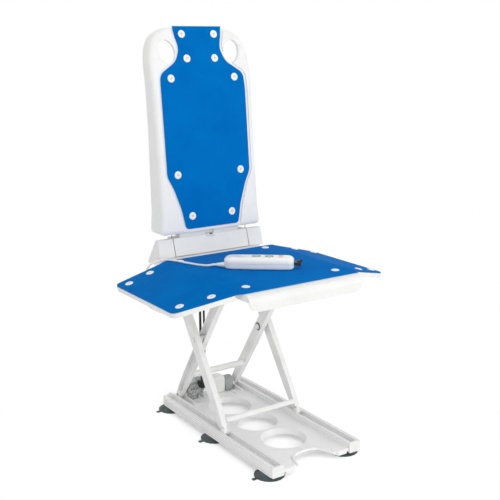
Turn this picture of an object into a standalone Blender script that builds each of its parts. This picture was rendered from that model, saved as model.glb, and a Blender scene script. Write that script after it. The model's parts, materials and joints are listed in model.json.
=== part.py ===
"""Electric floor lift: a scissor lift on two rails that carries a seat with folding flaps and a reclining back.

Metres, +Z up. The user faces -Y and the origin lies on the floor under the middle of the lift. "right" in a
name is the +X side. The lift stands raised, with the flaps down and the back upright.
"""

import math

import bmesh
import bpy
from mathutils import Matrix, Vector

OBJECT_NAME = "electric_floor_lift"

# Clearances
GAP = 0.0003
BORE_GAP = 0.0003

# Points this near each other become one
WELD = 0.00002

# Base rails
BASE_FRONT = -0.300
BASE_LENGTH = 0.562
BASE_HALF_WIDTH = 0.1425
RAIL_HEIGHT = 0.0285
RAIL_WALL = 0.0025
RAIL_OUTER_WALL = 0.0104
CHANNEL_WIDTH = 0.0196
CHANNEL_DEPTH = 0.0125
RAIL_INNER_WALL = 0.0073
LEDGE_WIDTH = 0.0067
LEDGE_THICKNESS = 0.003
GROOVE_WIDTH = 0.0015
GROOVE_DEPTH = 0.0009
GROOVE_HEIGHTS = (0.0072, 0.0218)
RAIL_CAP_LENGTH = 0.007
RAIL_PLUG_LENGTH = 0.008
REAR_CAP_BUMP_RADIUS = 0.009

# Suction cups
CUP_RADIUS = 0.040
CUP_HEIGHT = 0.0122
CUP_COLLAR_RADIUS = 0.024
CUP_STUD_RADIUS = 0.008
CUP_TAB_LENGTH = 0.012
CUP_TAB_WIDTH = 0.010
CUP_INSET = 0.0225
CUP_STATIONS = {"front": 0.045, "mid": 0.306, "rear": 0.550}

# Base plate
PLATE_HEIGHT = 0.0135
PLATE_WALL = 0.003
PLATE_FRONT_MARGIN = 0.0035
PLATE_OPENING_RADIUS = 0.0625
PLATE_OPENING_TAPER = 0.0085
PLATE_OPENING_STATIONS = (0.150, 0.283, 0.416)
GRIP_HALF_WIDTH = 0.071
GRIP_DEPTH = 0.068
GRIP_LIP_RADIUS = 0.0052
GRIP_RIDGE_HEIGHT = 0.0009
GRIP_RIDGES = 5

# Scissor
LOWER_LENGTH = 0.264
UPPER_LENGTH = 0.234
REST_ANGLE = math.radians(56.2)
LOWERED_ANGLE = math.radians(5.0)
FOOT_INSET = 0.0174
FOOT_HEIGHT = 0.0395
LEG_WIDTH = 0.016
LEG_DEPTH = 0.030
LEG_WALL = 0.0025
LEG_SPACE = 0.0105
LEG_TAPER = 0.080
LEG_FOOT_RADIUS = 0.0092
INNER_TOP_RADIUS = 0.0088
OUTER_TOP_RADIUS = 0.0115
LEG_END_SOLID = 0.020
CROSS_TUBE_RADIUS = 0.0095
CROSS_TUBE_STATION = 0.106
CROSS_TUBE_OFFSET = 0.0075
CROSS_BAR_STATION = 0.027
CROSS_BAR_OFFSET = 0.012
CROSS_BAR_DEPTH = 0.014
CROSS_BAR_THICKNESS = 0.006
CENTER_BOLT_RADIUS = 0.005
CENTER_COLLAR_RADIUS = 0.008
CENTER_HEAD_RADIUS = 0.0085
CENTER_HEAD_THICKNESS = 0.0027
CENTER_RING_RADIUS = 0.0100
CENTER_RING_THICKNESS = 0.0012
FOOT_TONGUE_WIDTH = 0.008
FOOT_DISC_THICKNESS = 0.0045
FOOT_PIN_RADIUS = 0.003
TOP_ROLLER_RADIUS = 0.0065
TOP_ROLLER_WIDTH = 0.009
TOP_PIN_RADIUS = 0.003
TOP_PIVOT_RADIUS = 0.005

# Foot pivot and drive
SHAFT_RADIUS = 0.006
BRACKET_GAP = 0.0018
BRACKET_THICKNESS = 0.0045
BRACKET_HEAD_RADIUS = 0.0135
BRACKET_LENGTH = 0.082
BRACKET_FLANGE_WIDTH = 0.020
BRACKET_FLANGE_LENGTH = 0.034
BRACKET_FLANGE_THICKNESS = 0.003
GEAR_MODULE = 0.00125
GEAR_TEETH = 32
PINION_TEETH = 10
GEAR_WIDTH = 0.010
MESH_ANGLE = math.radians(119.7)
GEARBOX_WIDTH = 0.0512
GEARBOX_WALL = 0.0025
GEARBOX_SLOT_WIDTH = 0.018
MOTOR_RADIUS = 0.020
MOTOR_LENGTH = 0.034
MOTOR_WALL = 0.0025
ROTOR_RADIUS = 0.015
ROTOR_SHAFT_RADIUS = 0.003
HOUSING_WIDTH = 0.040
HOUSING_HEIGHT = 0.050
DRIVE_BRACKET_WIDTH = 0.0345
DRIVE_BRACKET_HEIGHT = 0.044
DRIVE_DEPTH = 0.046
LEAD_Y = 0.200
MOTOR_LEAD_X = -0.0455
SWITCH_LEAD_X = -0.0320
MOTOR_LEAD_RADIUS = 0.0033
SWITCH_LEAD_RADIUS = 0.0026
PLUG_TOP = 0.0870

# Seat
SEAT_RISE = 0.0223
SEAT_SKIN = 0.005
COVER_THICKNESS = 0.0035
SEAT_HALF_WIDTH = 0.1765
COVER_HALF_WIDTH = 0.180
COVER_FRONT = -0.229
COVER_REAR = 0.1615
APRON_FRONT = -0.256
APRON_WALL = 0.0035
APRON_DROP = 0.0415
APRON_LIP = 0.0205
APRON_CORNER = 0.030
DECK_HALF_WIDTH = 0.150
DECK_REAR = 0.256
SEAT_REAR = 0.172
SEAT_RIB_HEIGHT = 0.0125
CLEVIS_THICKNESS = 0.005
CLEVIS_GAP = 0.0020
CLEVIS_LENGTH = 0.040
TRACK_WALL = 0.002
TRACK_WIDTH = 0.0175
TRACK_FRONT = -0.250
TRACK_REAR = -0.015
RIVET_RADIUS = 0.0107
RIVET_RISE = 0.0012
RIVET_EDGE = 0.0015
SEAT_RIVETS = ((0.141, -0.186), (0.143, 0.138))

# Flaps
HINGE_X = 0.1815
HINGE_DROP = 0.0057
KNUCKLE_RADIUS = 0.0045
HINGE_PIN_RADIUS = 0.002
HINGE_FRONT = -0.200
HINGE_REAR = 0.145
FLAP_DROOP = math.radians(15.0)
FLAP_WIDTH = 0.1460
FLAP_RISE = 0.0057
FLAP_SKIN = 0.004
FLAP_EDGE = 0.0125
FLAP_WALL = 0.003
FLAP_INNER = 0.0093
FLAP_FRONT_INNER = -0.220
FLAP_FRONT_OUTER = -0.160
FLAP_REAR = 0.154
FLAP_RIVETS = ((0.050, -0.173), (0.124, -0.143), (0.060, 0.127), (0.128, 0.120))

# Backrest
RECLINE_Y = 0.230
RECLINE_Z_RISE = 0.0163
CORE_HALF_WIDTH = 0.1225
CHEEK_GAP = 0.003
CHEEK_WIDTH = 0.0475
CHEEK_WALL = 0.0035
UNIT_FRONT = 0.209
UNIT_TOE = 0.174
UNIT_TOP_RISE = 0.0518
UNIT_TOP_DEPTH = 0.011
UNIT_REAR = 0.273
UNIT_SKIRT = 0.0217
TRUNNION_RADIUS = 0.005
BARREL_RADIUS = 0.0155
BACK_BOTTOM_RISE = 0.0643
BACK_HEIGHT = 0.5655
BACK_FACE = 0.1922
BACK_SLOPE = 0.0885
CROWN_START = 0.415
CROWN_SLOPE = 0.148
CROWN_SOFTNESS = 0.030
BACK_WALL = 0.0035
BACK_DEPTH_BOTTOM = 0.058
BACK_DEPTH_TOP = 0.0353
BACK_ROUND = 0.010
RECESS_DEPTH = 0.003
RECESS_MARGIN = 0.0085
HAND_HOLE = (0.104, 0.500)
HAND_HOLE_SIZE = (0.025, 0.0325)
HAND_HOLE_TILT = math.radians(16.0)
BACK_RIVETS = ((0.052, 0.548), (0.045, 0.482), (0.103, 0.429), (0.104, 0.166), (0.066, 0.046))

# Handset and its lead
HANDSET_LENGTH = 0.186
HANDSET_WIDTH = 0.056
HANDSET_HEIGHT = 0.032
HANDSET_CENTER = (-0.0079, -0.0499)
HANDSET_TURN = math.radians(-38.9)
HANDSET_RELIEF_LENGTH = 0.022
HANDSET_ROUND = 0.009
BUTTON_RADIUS = 0.0065
BUTTON_STATIONS = {"up_button": -0.007, "down_button": 0.027}
BUTTON_TRAVEL = 0.001
CORD_RADIUS = 0.003

# Derived places
RAIL_BOTTOM = CUP_HEIGHT + GAP
RAIL_TOP = RAIL_BOTTOM + RAIL_HEIGHT
CHANNEL_FLOOR = RAIL_TOP - CHANNEL_DEPTH
CUP_STUD_TOP = CHANNEL_FLOOR - RAIL_WALL - GAP
CHANNEL_OUTER_X = BASE_HALF_WIDTH - RAIL_OUTER_WALL
CHANNEL_INNER_X = CHANNEL_OUTER_X - CHANNEL_WIDTH
RAIL_INNER_X = CHANNEL_INNER_X - RAIL_INNER_WALL
LEDGE_X = RAIL_INNER_X - LEDGE_WIDTH
LEDGE_TOP = RAIL_BOTTOM + LEDGE_THICKNESS * 2
BASE_REAR = BASE_FRONT + BASE_LENGTH
RAIL_FRONT = BASE_FRONT + RAIL_CAP_LENGTH + GAP
RAIL_REAR = BASE_REAR - RAIL_CAP_LENGTH - GAP
PLATE_BOTTOM = RAIL_BOTTOM + 0.001
PLATE_TOP = PLATE_BOTTOM + PLATE_HEIGHT
OUTER_LEG_X = (CHANNEL_OUTER_X + CHANNEL_INNER_X) / 2
INNER_LEG_X = OUTER_LEG_X - LEG_WIDTH - LEG_SPACE
INNER_LEG_FACE = INNER_LEG_X - LEG_WIDTH / 2
OUTER_LEG_FACE = OUTER_LEG_X - LEG_WIDTH / 2
LEG_LENGTH = LOWER_LENGTH + UPPER_LENGTH
FOOT_Y = BASE_REAR - FOOT_INSET
CENTER_Y = FOOT_Y - LOWER_LENGTH * math.cos(REST_ANGLE)
CENTER_Z = FOOT_HEIGHT + LOWER_LENGTH * math.sin(REST_ANGLE)
TOP_Z = FOOT_HEIGHT + LEG_LENGTH * math.sin(REST_ANGLE)
INNER_TOP_Y = FOOT_Y - LEG_LENGTH * math.cos(REST_ANGLE)
OUTER_TOP_Y = CENTER_Y + UPPER_LENGTH * math.cos(REST_ANGLE)
OUTER_FOOT_Y = CENTER_Y - LOWER_LENGTH * math.cos(REST_ANGLE)
FOOT_DISC_RADIUS = FOOT_HEIGHT - CHANNEL_FLOOR - GAP
BRACKET_OUTER_X = INNER_LEG_FACE - BRACKET_GAP
BRACKET_INNER_X = BRACKET_OUTER_X - BRACKET_THICKNESS
SEAT_TOP = TOP_Z + SEAT_RISE
SEAT_BOTTOM = SEAT_TOP - SEAT_SKIN
COVER_TOP = SEAT_TOP + GAP + COVER_THICKNESS
TRACK_TOP = TOP_Z + TOP_ROLLER_RADIUS + GAP + TRACK_WALL
TRACK_BOTTOM = TOP_Z - TOP_ROLLER_RADIUS - GAP - TRACK_WALL
TRACK_OUTER_X = INNER_LEG_FACE - 0.0013
TRACK_INNER_X = TRACK_OUTER_X - TRACK_WIDTH
GEAR_PITCH_RADIUS = GEAR_MODULE * GEAR_TEETH / 2
PINION_PITCH_RADIUS = GEAR_MODULE * PINION_TEETH / 2
GEAR_DISTANCE = GEAR_PITCH_RADIUS + PINION_PITCH_RADIUS
MOTOR_Y = FOOT_Y + GEAR_DISTANCE * math.cos(MESH_ANGLE)
MOTOR_Z = FOOT_HEIGHT + GEAR_DISTANCE * math.sin(MESH_ANGLE)
GEARBOX_OUTER_X = -(BRACKET_INNER_X - GAP)
GEARBOX_INNER_X = GEARBOX_OUTER_X + GEARBOX_WIDTH
GEAR_X = (GEARBOX_OUTER_X + GEARBOX_INNER_X) / 2
HINGE_Z = SEAT_TOP - HINGE_DROP
RECLINE_Z = SEAT_TOP + RECLINE_Z_RISE
UNIT_TOP = SEAT_TOP + UNIT_TOP_RISE
BACK_BOTTOM = SEAT_TOP + BACK_BOTTOM_RISE
CHEEK_X = CORE_HALF_WIDTH + CHEEK_GAP
HANDSET_BOTTOM = COVER_TOP + GAP
HANDSET_SPLIT = HANDSET_BOTTOM + HANDSET_HEIGHT * 0.48
HANDSET_TOP = HANDSET_BOTTOM + HANDSET_HEIGHT

AXIS_TURNS = {
    "X": Matrix(((0, 0, 1, 0), (1, 0, 0, 0), (0, 1, 0, 0), (0, 0, 0, 1))),
    "Y": Matrix(((1, 0, 0, 0), (0, 0, -1, 0), (0, 1, 0, 0), (0, 0, 0, 1))),
    "Z": Matrix.Identity(4),
}
MIRROR_X = Matrix.Scale(-1, 4, (1, 0, 0))
SIDES = {"left": -1, "right": 1}

parts = bpy.data.collections.new(OBJECT_NAME)
cutters = bpy.data.collections.new("cutters")
materials = {}
bodies = {}


def clear_scene():
    """Empty scene with one collection for the parts and one for the cutters."""
    for obj in list(bpy.data.objects):
        bpy.data.objects.remove(obj, do_unlink=True)
    bpy.context.scene.collection.children.link(parts)
    bpy.context.scene.collection.children.link(cutters)


def material(name, color, roughness, metallic=0.0):
    """Principled material, made once for each name."""
    if name not in materials:
        made = bpy.data.materials.new(name)
        made.use_nodes = True
        made.diffuse_color = (*color, 1.0)
        shader = made.node_tree.nodes["Principled BSDF"]
        shader.inputs["Base Color"].default_value = (*color, 1.0)
        shader.inputs["Roughness"].default_value = roughness
        shader.inputs["Metallic"].default_value = metallic
        materials[name] = made
    return materials[name]


def white_plastic():
    return material("white_plastic", (0.83, 0.84, 0.84), 0.35)


def white_metal():
    return material("white_painted_metal", (0.78, 0.79, 0.79), 0.4)


def blue_cover():
    return material("blue_cover", (0.0, 0.147, 0.521), 0.6)


def dark_rubber():
    return material("dark_rubber", (0.03, 0.042, 0.042), 0.55)


def grey_plastic():
    return material("grey_plastic", (0.22, 0.22, 0.22), 0.5)


def black_plastic():
    return material("black_plastic", (0.01, 0.01, 0.01), 0.45)


def steel():
    return material("steel", (0.62, 0.62, 0.62), 0.35, 1.0)


def helper(mesh, matrix=None):
    """Object for a mesh that a cut or a join uses up."""
    obj = bpy.data.objects.new("cutter", mesh)
    obj.hide_render = True
    obj.display_type = "WIRE"
    cutters.objects.link(obj)
    if matrix is not None:
        obj.matrix_world = matrix
        bpy.context.view_layer.update()
    return obj


def evaluated(obj):
    """Welded, outward mesh of an object with its modifiers and its place applied. The object is used up."""
    bpy.context.view_layer.update()
    graph = bpy.context.evaluated_depsgraph_get()
    mesh = bpy.data.meshes.new_from_object(obj.evaluated_get(graph), depsgraph=graph)
    shape = bmesh.new()
    shape.from_mesh(mesh)
    bmesh.ops.transform(shape, matrix=obj.matrix_world, verts=shape.verts)
    bmesh.ops.remove_doubles(shape, verts=shape.verts, dist=WELD)
    bmesh.ops.dissolve_degenerate(shape, edges=shape.edges, dist=WELD)
    bmesh.ops.recalc_face_normals(shape, faces=shape.faces)
    shape.to_mesh(mesh)
    shape.free()
    bpy.data.objects.remove(obj, do_unlink=True)
    return mesh


def extruded(outline, start, end, axis, holes=()):
    """Flat outline with holes, drawn out from start to end along an axis.

    The outline is in (y, z) for the axis X, in (x, z) for Y and in (x, y) for Z.
    """
    curve = bpy.data.curves.new("outline", "CURVE")
    curve.dimensions = "2D"
    curve.fill_mode = "BOTH"
    curve.extrude = abs(end - start) / 2
    for loop in (outline, *holes):
        spline = curve.splines.new("POLY")
        spline.points.add(len(loop) - 1)
        for point, place in zip(spline.points, loop):
            point.co = (place[0], place[1], 0.0, 1.0)
        spline.use_cyclic_u = True
    middle = Vector([(start + end) / 2 if axis == name else 0.0 for name in "XYZ"])
    return evaluated(helper(curve, Matrix.Translation(middle) @ AXIS_TURNS[axis]))


def turned(profile, axis, center, steps=16, closed=False):
    """Solid of revolution. The profile holds (radius, place along the axis) from top to bottom."""
    mesh = bpy.data.meshes.new("profile")
    edges = [(i, i + 1) for i in range(len(profile) - 1)]
    if closed:
        edges.append((len(profile) - 1, 0))
    mesh.from_pydata([(radius, 0.0, place) for radius, place in profile], edges, [])
    obj = helper(mesh, Matrix.Translation(center) @ AXIS_TURNS[axis])
    screw = obj.modifiers.new("turn", "SCREW")
    screw.steps = steps
    screw.render_steps = steps
    screw.use_merge_vertices = True
    screw.merge_threshold = 0.00001
    return evaluated(obj)


def rod(axis, center, radius, start, end, steps=16):
    """Plain cylinder along an axis, its start and end measured along that axis from the center."""
    return turned([(0, end), (radius, end), (radius, start), (0, start)], axis, center, steps)


def ring(axis, center, outer, inner, start, end, steps=16):
    """Tube with square ends."""
    profile = [(inner, end), (outer, end), (outer, start), (inner, start)]
    return turned(profile, axis, center, steps, closed=True)


def block(x, y, z):
    """Box between pairs of places on each axis."""
    shape = bmesh.new()
    bmesh.ops.create_cube(shape, size=1.0)
    size = Matrix.Diagonal((x[1] - x[0], y[1] - y[0], z[1] - z[0], 1.0))
    middle = Vector(((x[0] + x[1]) / 2, (y[0] + y[1]) / 2, (z[0] + z[1]) / 2))
    bmesh.ops.transform(shape, matrix=Matrix.Translation(middle) @ size, verts=shape.verts)
    mesh = bpy.data.meshes.new("block")
    shape.to_mesh(mesh)
    shape.free()
    return mesh


def tube(points, radius, swell=None, resolution=2):
    """Round bar along points, with a share of its radius for each point if it swells."""
    curve = bpy.data.curves.new("tube", "CURVE")
    curve.dimensions = "3D"
    curve.bevel_depth = radius
    curve.bevel_resolution = resolution
    curve.use_fill_caps = True
    spline = curve.splines.new("POLY")
    spline.points.add(len(points) - 1)
    for index, place in enumerate(points):
        spline.points[index].co = (*place, 1.0)
        spline.points[index].radius = swell[index] if swell else 1.0
    return evaluated(helper(curve))


def combined(mesh, others, operation):
    """Mesh after a Boolean with each of the others, which are used up."""
    for other in others:
        base = helper(mesh)
        tool = helper(other)
        change = base.modifiers.new("boolean", "BOOLEAN")
        change.operation = operation
        change.solver = "EXACT"
        change.object = tool
        mesh = evaluated(base)
        bpy.data.objects.remove(tool, do_unlink=True)
    return mesh


def cut(mesh, *others):
    return combined(mesh, others, "DIFFERENCE")


def joined(mesh, *others):
    return combined(mesh, others, "UNION")


def rounded_edges(mesh, width, segments=2, angle=50.0):
    """Mesh with its sharp edges bevelled."""
    obj = helper(mesh)
    bevel = obj.modifiers.new("edges", "BEVEL")
    bevel.width = width
    bevel.segments = segments
    bevel.limit_method = "ANGLE"
    bevel.angle_limit = math.radians(angle)
    bevel.use_clamp_overlap = True
    return evaluated(obj)


def moved(mesh, matrix):
    """Mesh after a move, a turn or a mirroring."""
    mesh.transform(matrix)
    if matrix.determinant() < 0:
        mesh.flip_normals()
    return mesh


def on_side(mesh, side):
    """Mesh drawn for the right side, mirrored for the left one."""
    return moved(mesh, MIRROR_X) if side < 0 else mesh


def fillet(corners, steps=3):
    """Outline with round corners. Each corner is (a, b) or (a, b, radius)."""
    outline = []
    count = len(corners)
    for index, corner in enumerate(corners):
        here = Vector(corner[:2])
        radius = corner[2] if len(corner) > 2 else 0.0
        if radius == 0.0:
            outline.append(tuple(here))
            continue
        before = (Vector(corners[index - 1][:2]) - here).normalized()
        after = (Vector(corners[(index + 1) % count][:2]) - here).normalized()
        half = before.angle(after) / 2
        center = here + (before + after).normalized() * (radius / math.sin(half))
        first = here + before * (radius / math.tan(half)) - center
        turn = (math.pi - 2 * half) * (1 if before.cross(after) < 0 else -1)
        for step in range(steps + 1):
            angle = turn * step / steps
            spun = Matrix.Rotation(angle, 2) @ first
            outline.append(tuple(center + spun))
    return outline


def circle(center, radius, steps=16, squeeze=1.0, tilt=0.0):
    """Round or oval outline."""
    points = []
    for step in range(steps):
        angle = 2 * math.pi * step / steps
        a = radius * math.cos(angle)
        b = radius * squeeze * math.sin(angle)
        x = center[0] + a * math.cos(tilt) - b * math.sin(tilt)
        y = center[1] + a * math.sin(tilt) + b * math.cos(tilt)
        points.append((x, y))
    return points


def round_slab(outline_at, start, end, radius, axis, steps=3):
    """Slab whose edge at the start is rounded. outline_at gives its outline for an inset."""
    sign = 1 if end > start else -1
    rings = []
    for step in range(steps + 1):
        angle = math.pi / 2 * step / steps
        inset = radius * (1 - math.sin(angle))
        rings.append((outline_at(inset), start + sign * radius * (1 - math.cos(angle))))
    rings.append((outline_at(0.0), end))
    shape = bmesh.new()
    loops = []
    for outline, place in rings:
        if axis == "Y":
            loops.append([shape.verts.new((a, place, b)) for a, b in outline])
        else:
            loops.append([shape.verts.new((a, b, place)) for a, b in outline])
    count = len(loops[0])
    for lower, upper in zip(loops, loops[1:]):
        for index in range(count):
            after = (index + 1) % count
            shape.faces.new((lower[index], lower[after], upper[after], upper[index]))
    shape.faces.new(loops[0])
    shape.faces.new(loops[-1])
    bmesh.ops.recalc_face_normals(shape, faces=shape.faces)
    mesh = bpy.data.meshes.new("slab")
    shape.to_mesh(mesh)
    shape.free()
    return mesh


def add_body(name, axis, parent=None):
    """Empty on the axis of a moving body, under the empty of the body that carries it."""
    empty = bpy.data.objects.new(name + "_axis", None)
    empty.empty_display_size = 0.02
    parts.objects.link(empty)
    holder = bodies.get(parent)
    empty.parent = holder[0] if holder else None
    empty.location = Vector(axis) - (holder[1] if holder else Vector())
    bodies[name] = (empty, Vector(axis))


def add_part(name, mesh, finish, body, smooth=35.0):
    """Named sub-part with its origin on the axis of its body."""
    empty, origin = bodies[body]
    mesh.transform(Matrix.Translation(-origin))
    mesh.name = name
    mesh.materials.clear()
    mesh.materials.append(finish)
    mesh.shade_smooth()
    mesh.set_sharp_from_angle(angle=math.radians(smooth))
    obj = bpy.data.objects.new(name, mesh)
    obj.parent = empty
    parts.objects.link(obj)
    return obj


def add_bodies():
    """One empty for each moving body, at its joint."""
    add_body("base", (0, 0, 0))
    add_body("inner_legs", (0, FOOT_Y, FOOT_HEIGHT), "base")
    add_body("motor", (0, MOTOR_Y, MOTOR_Z), "base")
    add_body("outer_legs", (0, CENTER_Y, CENTER_Z), "inner_legs")
    add_body("seat", (0, OUTER_TOP_Y, TOP_Z), "outer_legs")
    add_body("backrest", (0, RECLINE_Y, RECLINE_Z), "seat")
    add_body("latch", (0, UNIT_FRONT, UNIT_TOP), "backrest")
    for side, sign in SIDES.items():
        add_body("foot_roller_" + side, (sign * OUTER_LEG_X, OUTER_FOOT_Y, FOOT_HEIGHT), "outer_legs")
        add_body("top_roller_" + side, (sign * INNER_LEG_X, INNER_TOP_Y, TOP_Z), "inner_legs")
        add_body("flap_" + side, (sign * HINGE_X, 0, HINGE_Z), "seat")
    for name in BUTTON_STATIONS:
        add_body(name, handset_point(BUTTON_STATIONS[name], 0.0, HANDSET_TOP), "seat")


def rail_outline():
    """Cross-section of a rail in (x, z): a channel for the foot roller, a hollow underside and a ledge."""
    outer = BASE_HALF_WIDTH
    side = []
    for height in GROOVE_HEIGHTS:
        low = RAIL_BOTTOM + height
        side.append((outer, low))
        side.append((outer - GROOVE_DEPTH, low + GROOVE_WIDTH / 3))
        side.append((outer - GROOVE_DEPTH, low + GROOVE_WIDTH * 2 / 3))
        side.append((outer, low + GROOVE_WIDTH))
    web = CHANNEL_FLOOR - RAIL_WALL
    return [
        (outer, RAIL_BOTTOM),
        *side,
        (outer, RAIL_TOP),
        (CHANNEL_OUTER_X, RAIL_TOP),
        (CHANNEL_OUTER_X, CHANNEL_FLOOR),
        (CHANNEL_INNER_X, CHANNEL_FLOOR),
        (CHANNEL_INNER_X, RAIL_TOP),
        (RAIL_INNER_X, RAIL_TOP),
        (RAIL_INNER_X, LEDGE_TOP),
        (LEDGE_X, LEDGE_TOP),
        (LEDGE_X, LEDGE_TOP - LEDGE_THICKNESS),
        (RAIL_INNER_X + RAIL_WALL, LEDGE_TOP - LEDGE_THICKNESS),
        (RAIL_INNER_X + RAIL_WALL, web),
        (CHANNEL_OUTER_X + RAIL_WALL, web),
        (CHANNEL_OUTER_X + RAIL_WALL, RAIL_TOP - RAIL_WALL),
        (outer - RAIL_WALL, RAIL_TOP - RAIL_WALL),
        (outer - RAIL_WALL, RAIL_BOTTOM),
    ]


def rail_cap(end):
    """End cap of a rail, with a plug in the rail's hollow. The rear one has a round bump on top."""
    face = BASE_FRONT if end == "front" else BASE_REAR
    inward = 1 if end == "front" else -1
    inner = face + inward * RAIL_CAP_LENGTH
    corners = [
        (RAIL_INNER_X + GAP, RAIL_BOTTOM, 0.001),
        (BASE_HALF_WIDTH, RAIL_BOTTOM, 0.003),
        (BASE_HALF_WIDTH, RAIL_TOP, 0.003),
        (RAIL_INNER_X + GAP, RAIL_TOP, 0.001),
    ]
    cap = extruded(fillet(corners, 3), min(face, inner), max(face, inner), "Y")
    if end == "front":
        plug = block(
            (RAIL_INNER_X + RAIL_WALL + GAP, BASE_HALF_WIDTH - RAIL_WALL - GAP),
            (inner - 0.003, inner + RAIL_PLUG_LENGTH),
            (RAIL_BOTTOM + 0.001, CHANNEL_FLOOR - RAIL_WALL - GAP),
        )
        return joined(cap, plug)
    stud = (BASE_HALF_WIDTH - CUP_INSET, BASE_FRONT + CUP_STATIONS["rear"], 0.0)
    cap = cut(cap, rod("Z", stud, CUP_STUD_RADIUS + GAP, 0.0, CUP_STUD_TOP + GAP))
    top = (OUTER_LEG_X, (face + inner) / 2, RAIL_TOP - REAR_CAP_BUMP_RADIUS * 0.25)
    half = RAIL_CAP_LENGTH / 2 - 0.001
    return joined(cap, rod("Y", top, REAR_CAP_BUMP_RADIUS, -half, half))


def suction_cup():
    """Rubber cup, hollow below, with a collar, a stud and a release tab. Its center is at the origin."""
    profile = [
        (0.0, CUP_STUD_TOP),
        (CUP_STUD_RADIUS, CUP_STUD_TOP),
        (CUP_STUD_RADIUS, CUP_HEIGHT),
        (CUP_COLLAR_RADIUS, CUP_HEIGHT),
        (CUP_COLLAR_RADIUS + 0.003, CUP_HEIGHT * 0.82),
        (CUP_RADIUS, 0.0014),
        (CUP_RADIUS, 0.0),
        (CUP_RADIUS - 0.003, 0.0),
        (CUP_COLLAR_RADIUS - 0.001, CUP_HEIGHT * 0.6),
        (0.0, CUP_HEIGHT * 0.7),
    ]
    tab = block(
        (CUP_RADIUS - 0.004, CUP_RADIUS + CUP_TAB_LENGTH),
        (-CUP_TAB_WIDTH / 2, CUP_TAB_WIDTH / 2),
        (0.0004, 0.0018),
    )
    return joined(turned(profile, "Z", (0, 0, 0), 18), tab)


def plate_corners(inset, half_width):
    """Outline of the base plate in (x, y), drawn in by an inset, with the cut-out for the hands in front."""
    front = BASE_FRONT + PLATE_FRONT_MARGIN + inset
    rear = RAIL_REAR - inset
    side = half_width - inset
    depth = BASE_FRONT + GRIP_DEPTH + inset
    grip = GRIP_HALF_WIDTH + inset
    return [
        (-side, front),
        (-grip, front, 0.006),
        (-grip + 0.020, depth - 0.018, 0.022),
        (0.0, depth + 0.004, 0.080),
        (grip - 0.020, depth - 0.018, 0.022),
        (grip, front, 0.006),
        (side, front),
        (side, rear),
        (-side, rear),
    ]


def grip_lip():
    """Rolled edge of the hand cut-out, with finger ridges."""
    span = GRIP_HALF_WIDTH - 0.012
    points = []
    swell = []
    count = 30
    for index in range(count + 1):
        share = 2 * index / count - 1
        sag = (GRIP_DEPTH - 0.006) * (1 - 0.30 * share**2 - 0.62 * abs(share) ** 7)
        points.append((share * span, BASE_FRONT + sag, PLATE_TOP - GRIP_LIP_RADIUS + 0.0018))
        wave = math.cos(share * math.pi * GRIP_RIDGES)
        swell.append(1 + GRIP_RIDGE_HEIGHT / GRIP_LIP_RADIUS * wave)
    return tube(points, GRIP_LIP_RADIUS, swell, 1)


def base_plate():
    """Moulded plate between the rails, hollow below, with three conical openings and a gripping edge."""
    lip_half = RAIL_INNER_X - GAP
    body_half = LEDGE_X - GAP
    plate = extruded(fillet(plate_corners(0.0, body_half)), PLATE_BOTTOM, PLATE_TOP, "Z")
    front = BASE_FRONT + PLATE_FRONT_MARGIN
    for sign in SIDES.values():
        x = sorted((sign * (body_half - 0.003), sign * lip_half))
        plate = joined(plate, block(x, (front, RAIL_REAR), (LEDGE_TOP + GAP, PLATE_TOP)))
    pocket = extruded(
        fillet(plate_corners(PLATE_WALL, body_half)), PLATE_BOTTOM - 0.005, PLATE_TOP - PLATE_WALL, "Z"
    )
    middle = PLATE_BOTTOM + PLATE_HEIGHT / 2
    reach = PLATE_HEIGHT
    for station in PLATE_OPENING_STATIONS:
        center = (0.0, BASE_FRONT + station, middle)
        pocket = cut(pocket, rod("Z", center, PLATE_OPENING_RADIUS + PLATE_WALL, -reach, reach, 32))
    plate = cut(plate, pocket)
    for station in PLATE_OPENING_STATIONS:
        center = (0.0, BASE_FRONT + station, middle)
        slope = PLATE_OPENING_TAPER / PLATE_HEIGHT
        profile = [
            (0.0, reach),
            (PLATE_OPENING_RADIUS + slope * (reach - PLATE_HEIGHT / 2), reach),
            (PLATE_OPENING_RADIUS - slope * (reach + PLATE_HEIGHT / 2), -reach),
            (0.0, -reach),
        ]
        plate = cut(plate, turned(profile, "Z", center, 32))
    notch = block(
        (GEARBOX_OUTER_X - GAP, GEARBOX_INNER_X + GAP),
        (gearbox_front() - GAP, RAIL_REAR + 0.01),
        (PLATE_BOTTOM - 0.01, PLATE_TOP + 0.01),
    )
    plate = cut(plate, notch)
    return joined(plate, grip_lip())


def foot_bracket():
    """Angle bracket beside the base plate with the bore of the foot axle, drawn for the right side."""
    front = FOOT_Y - BRACKET_LENGTH + BRACKET_HEAD_RADIUS
    foot = PLATE_TOP + GAP
    top = FOOT_HEIGHT + BRACKET_HEAD_RADIUS
    rear = FOOT_Y + BRACKET_HEAD_RADIUS
    corners = [
        (front, foot),
        (rear, foot),
        (rear, top, BRACKET_HEAD_RADIUS * 0.98),
        (FOOT_Y - BRACKET_HEAD_RADIUS, top, BRACKET_HEAD_RADIUS * 0.98),
        (FOOT_Y - BRACKET_HEAD_RADIUS * 1.6, foot + 0.012, 0.004),
        (front, foot + 0.009, 0.004),
    ]
    bore = circle((FOOT_Y, FOOT_HEIGHT), SHAFT_RADIUS + BORE_GAP, 16)
    plate = extruded(fillet(corners), BRACKET_INNER_X, BRACKET_OUTER_X, "X", [bore])
    flange = block(
        (BRACKET_INNER_X - BRACKET_FLANGE_WIDTH, BRACKET_OUTER_X),
        (front, front + BRACKET_FLANGE_LENGTH),
        (foot, foot + BRACKET_FLANGE_THICKNESS),
    )
    return joined(plate, flange)


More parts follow.
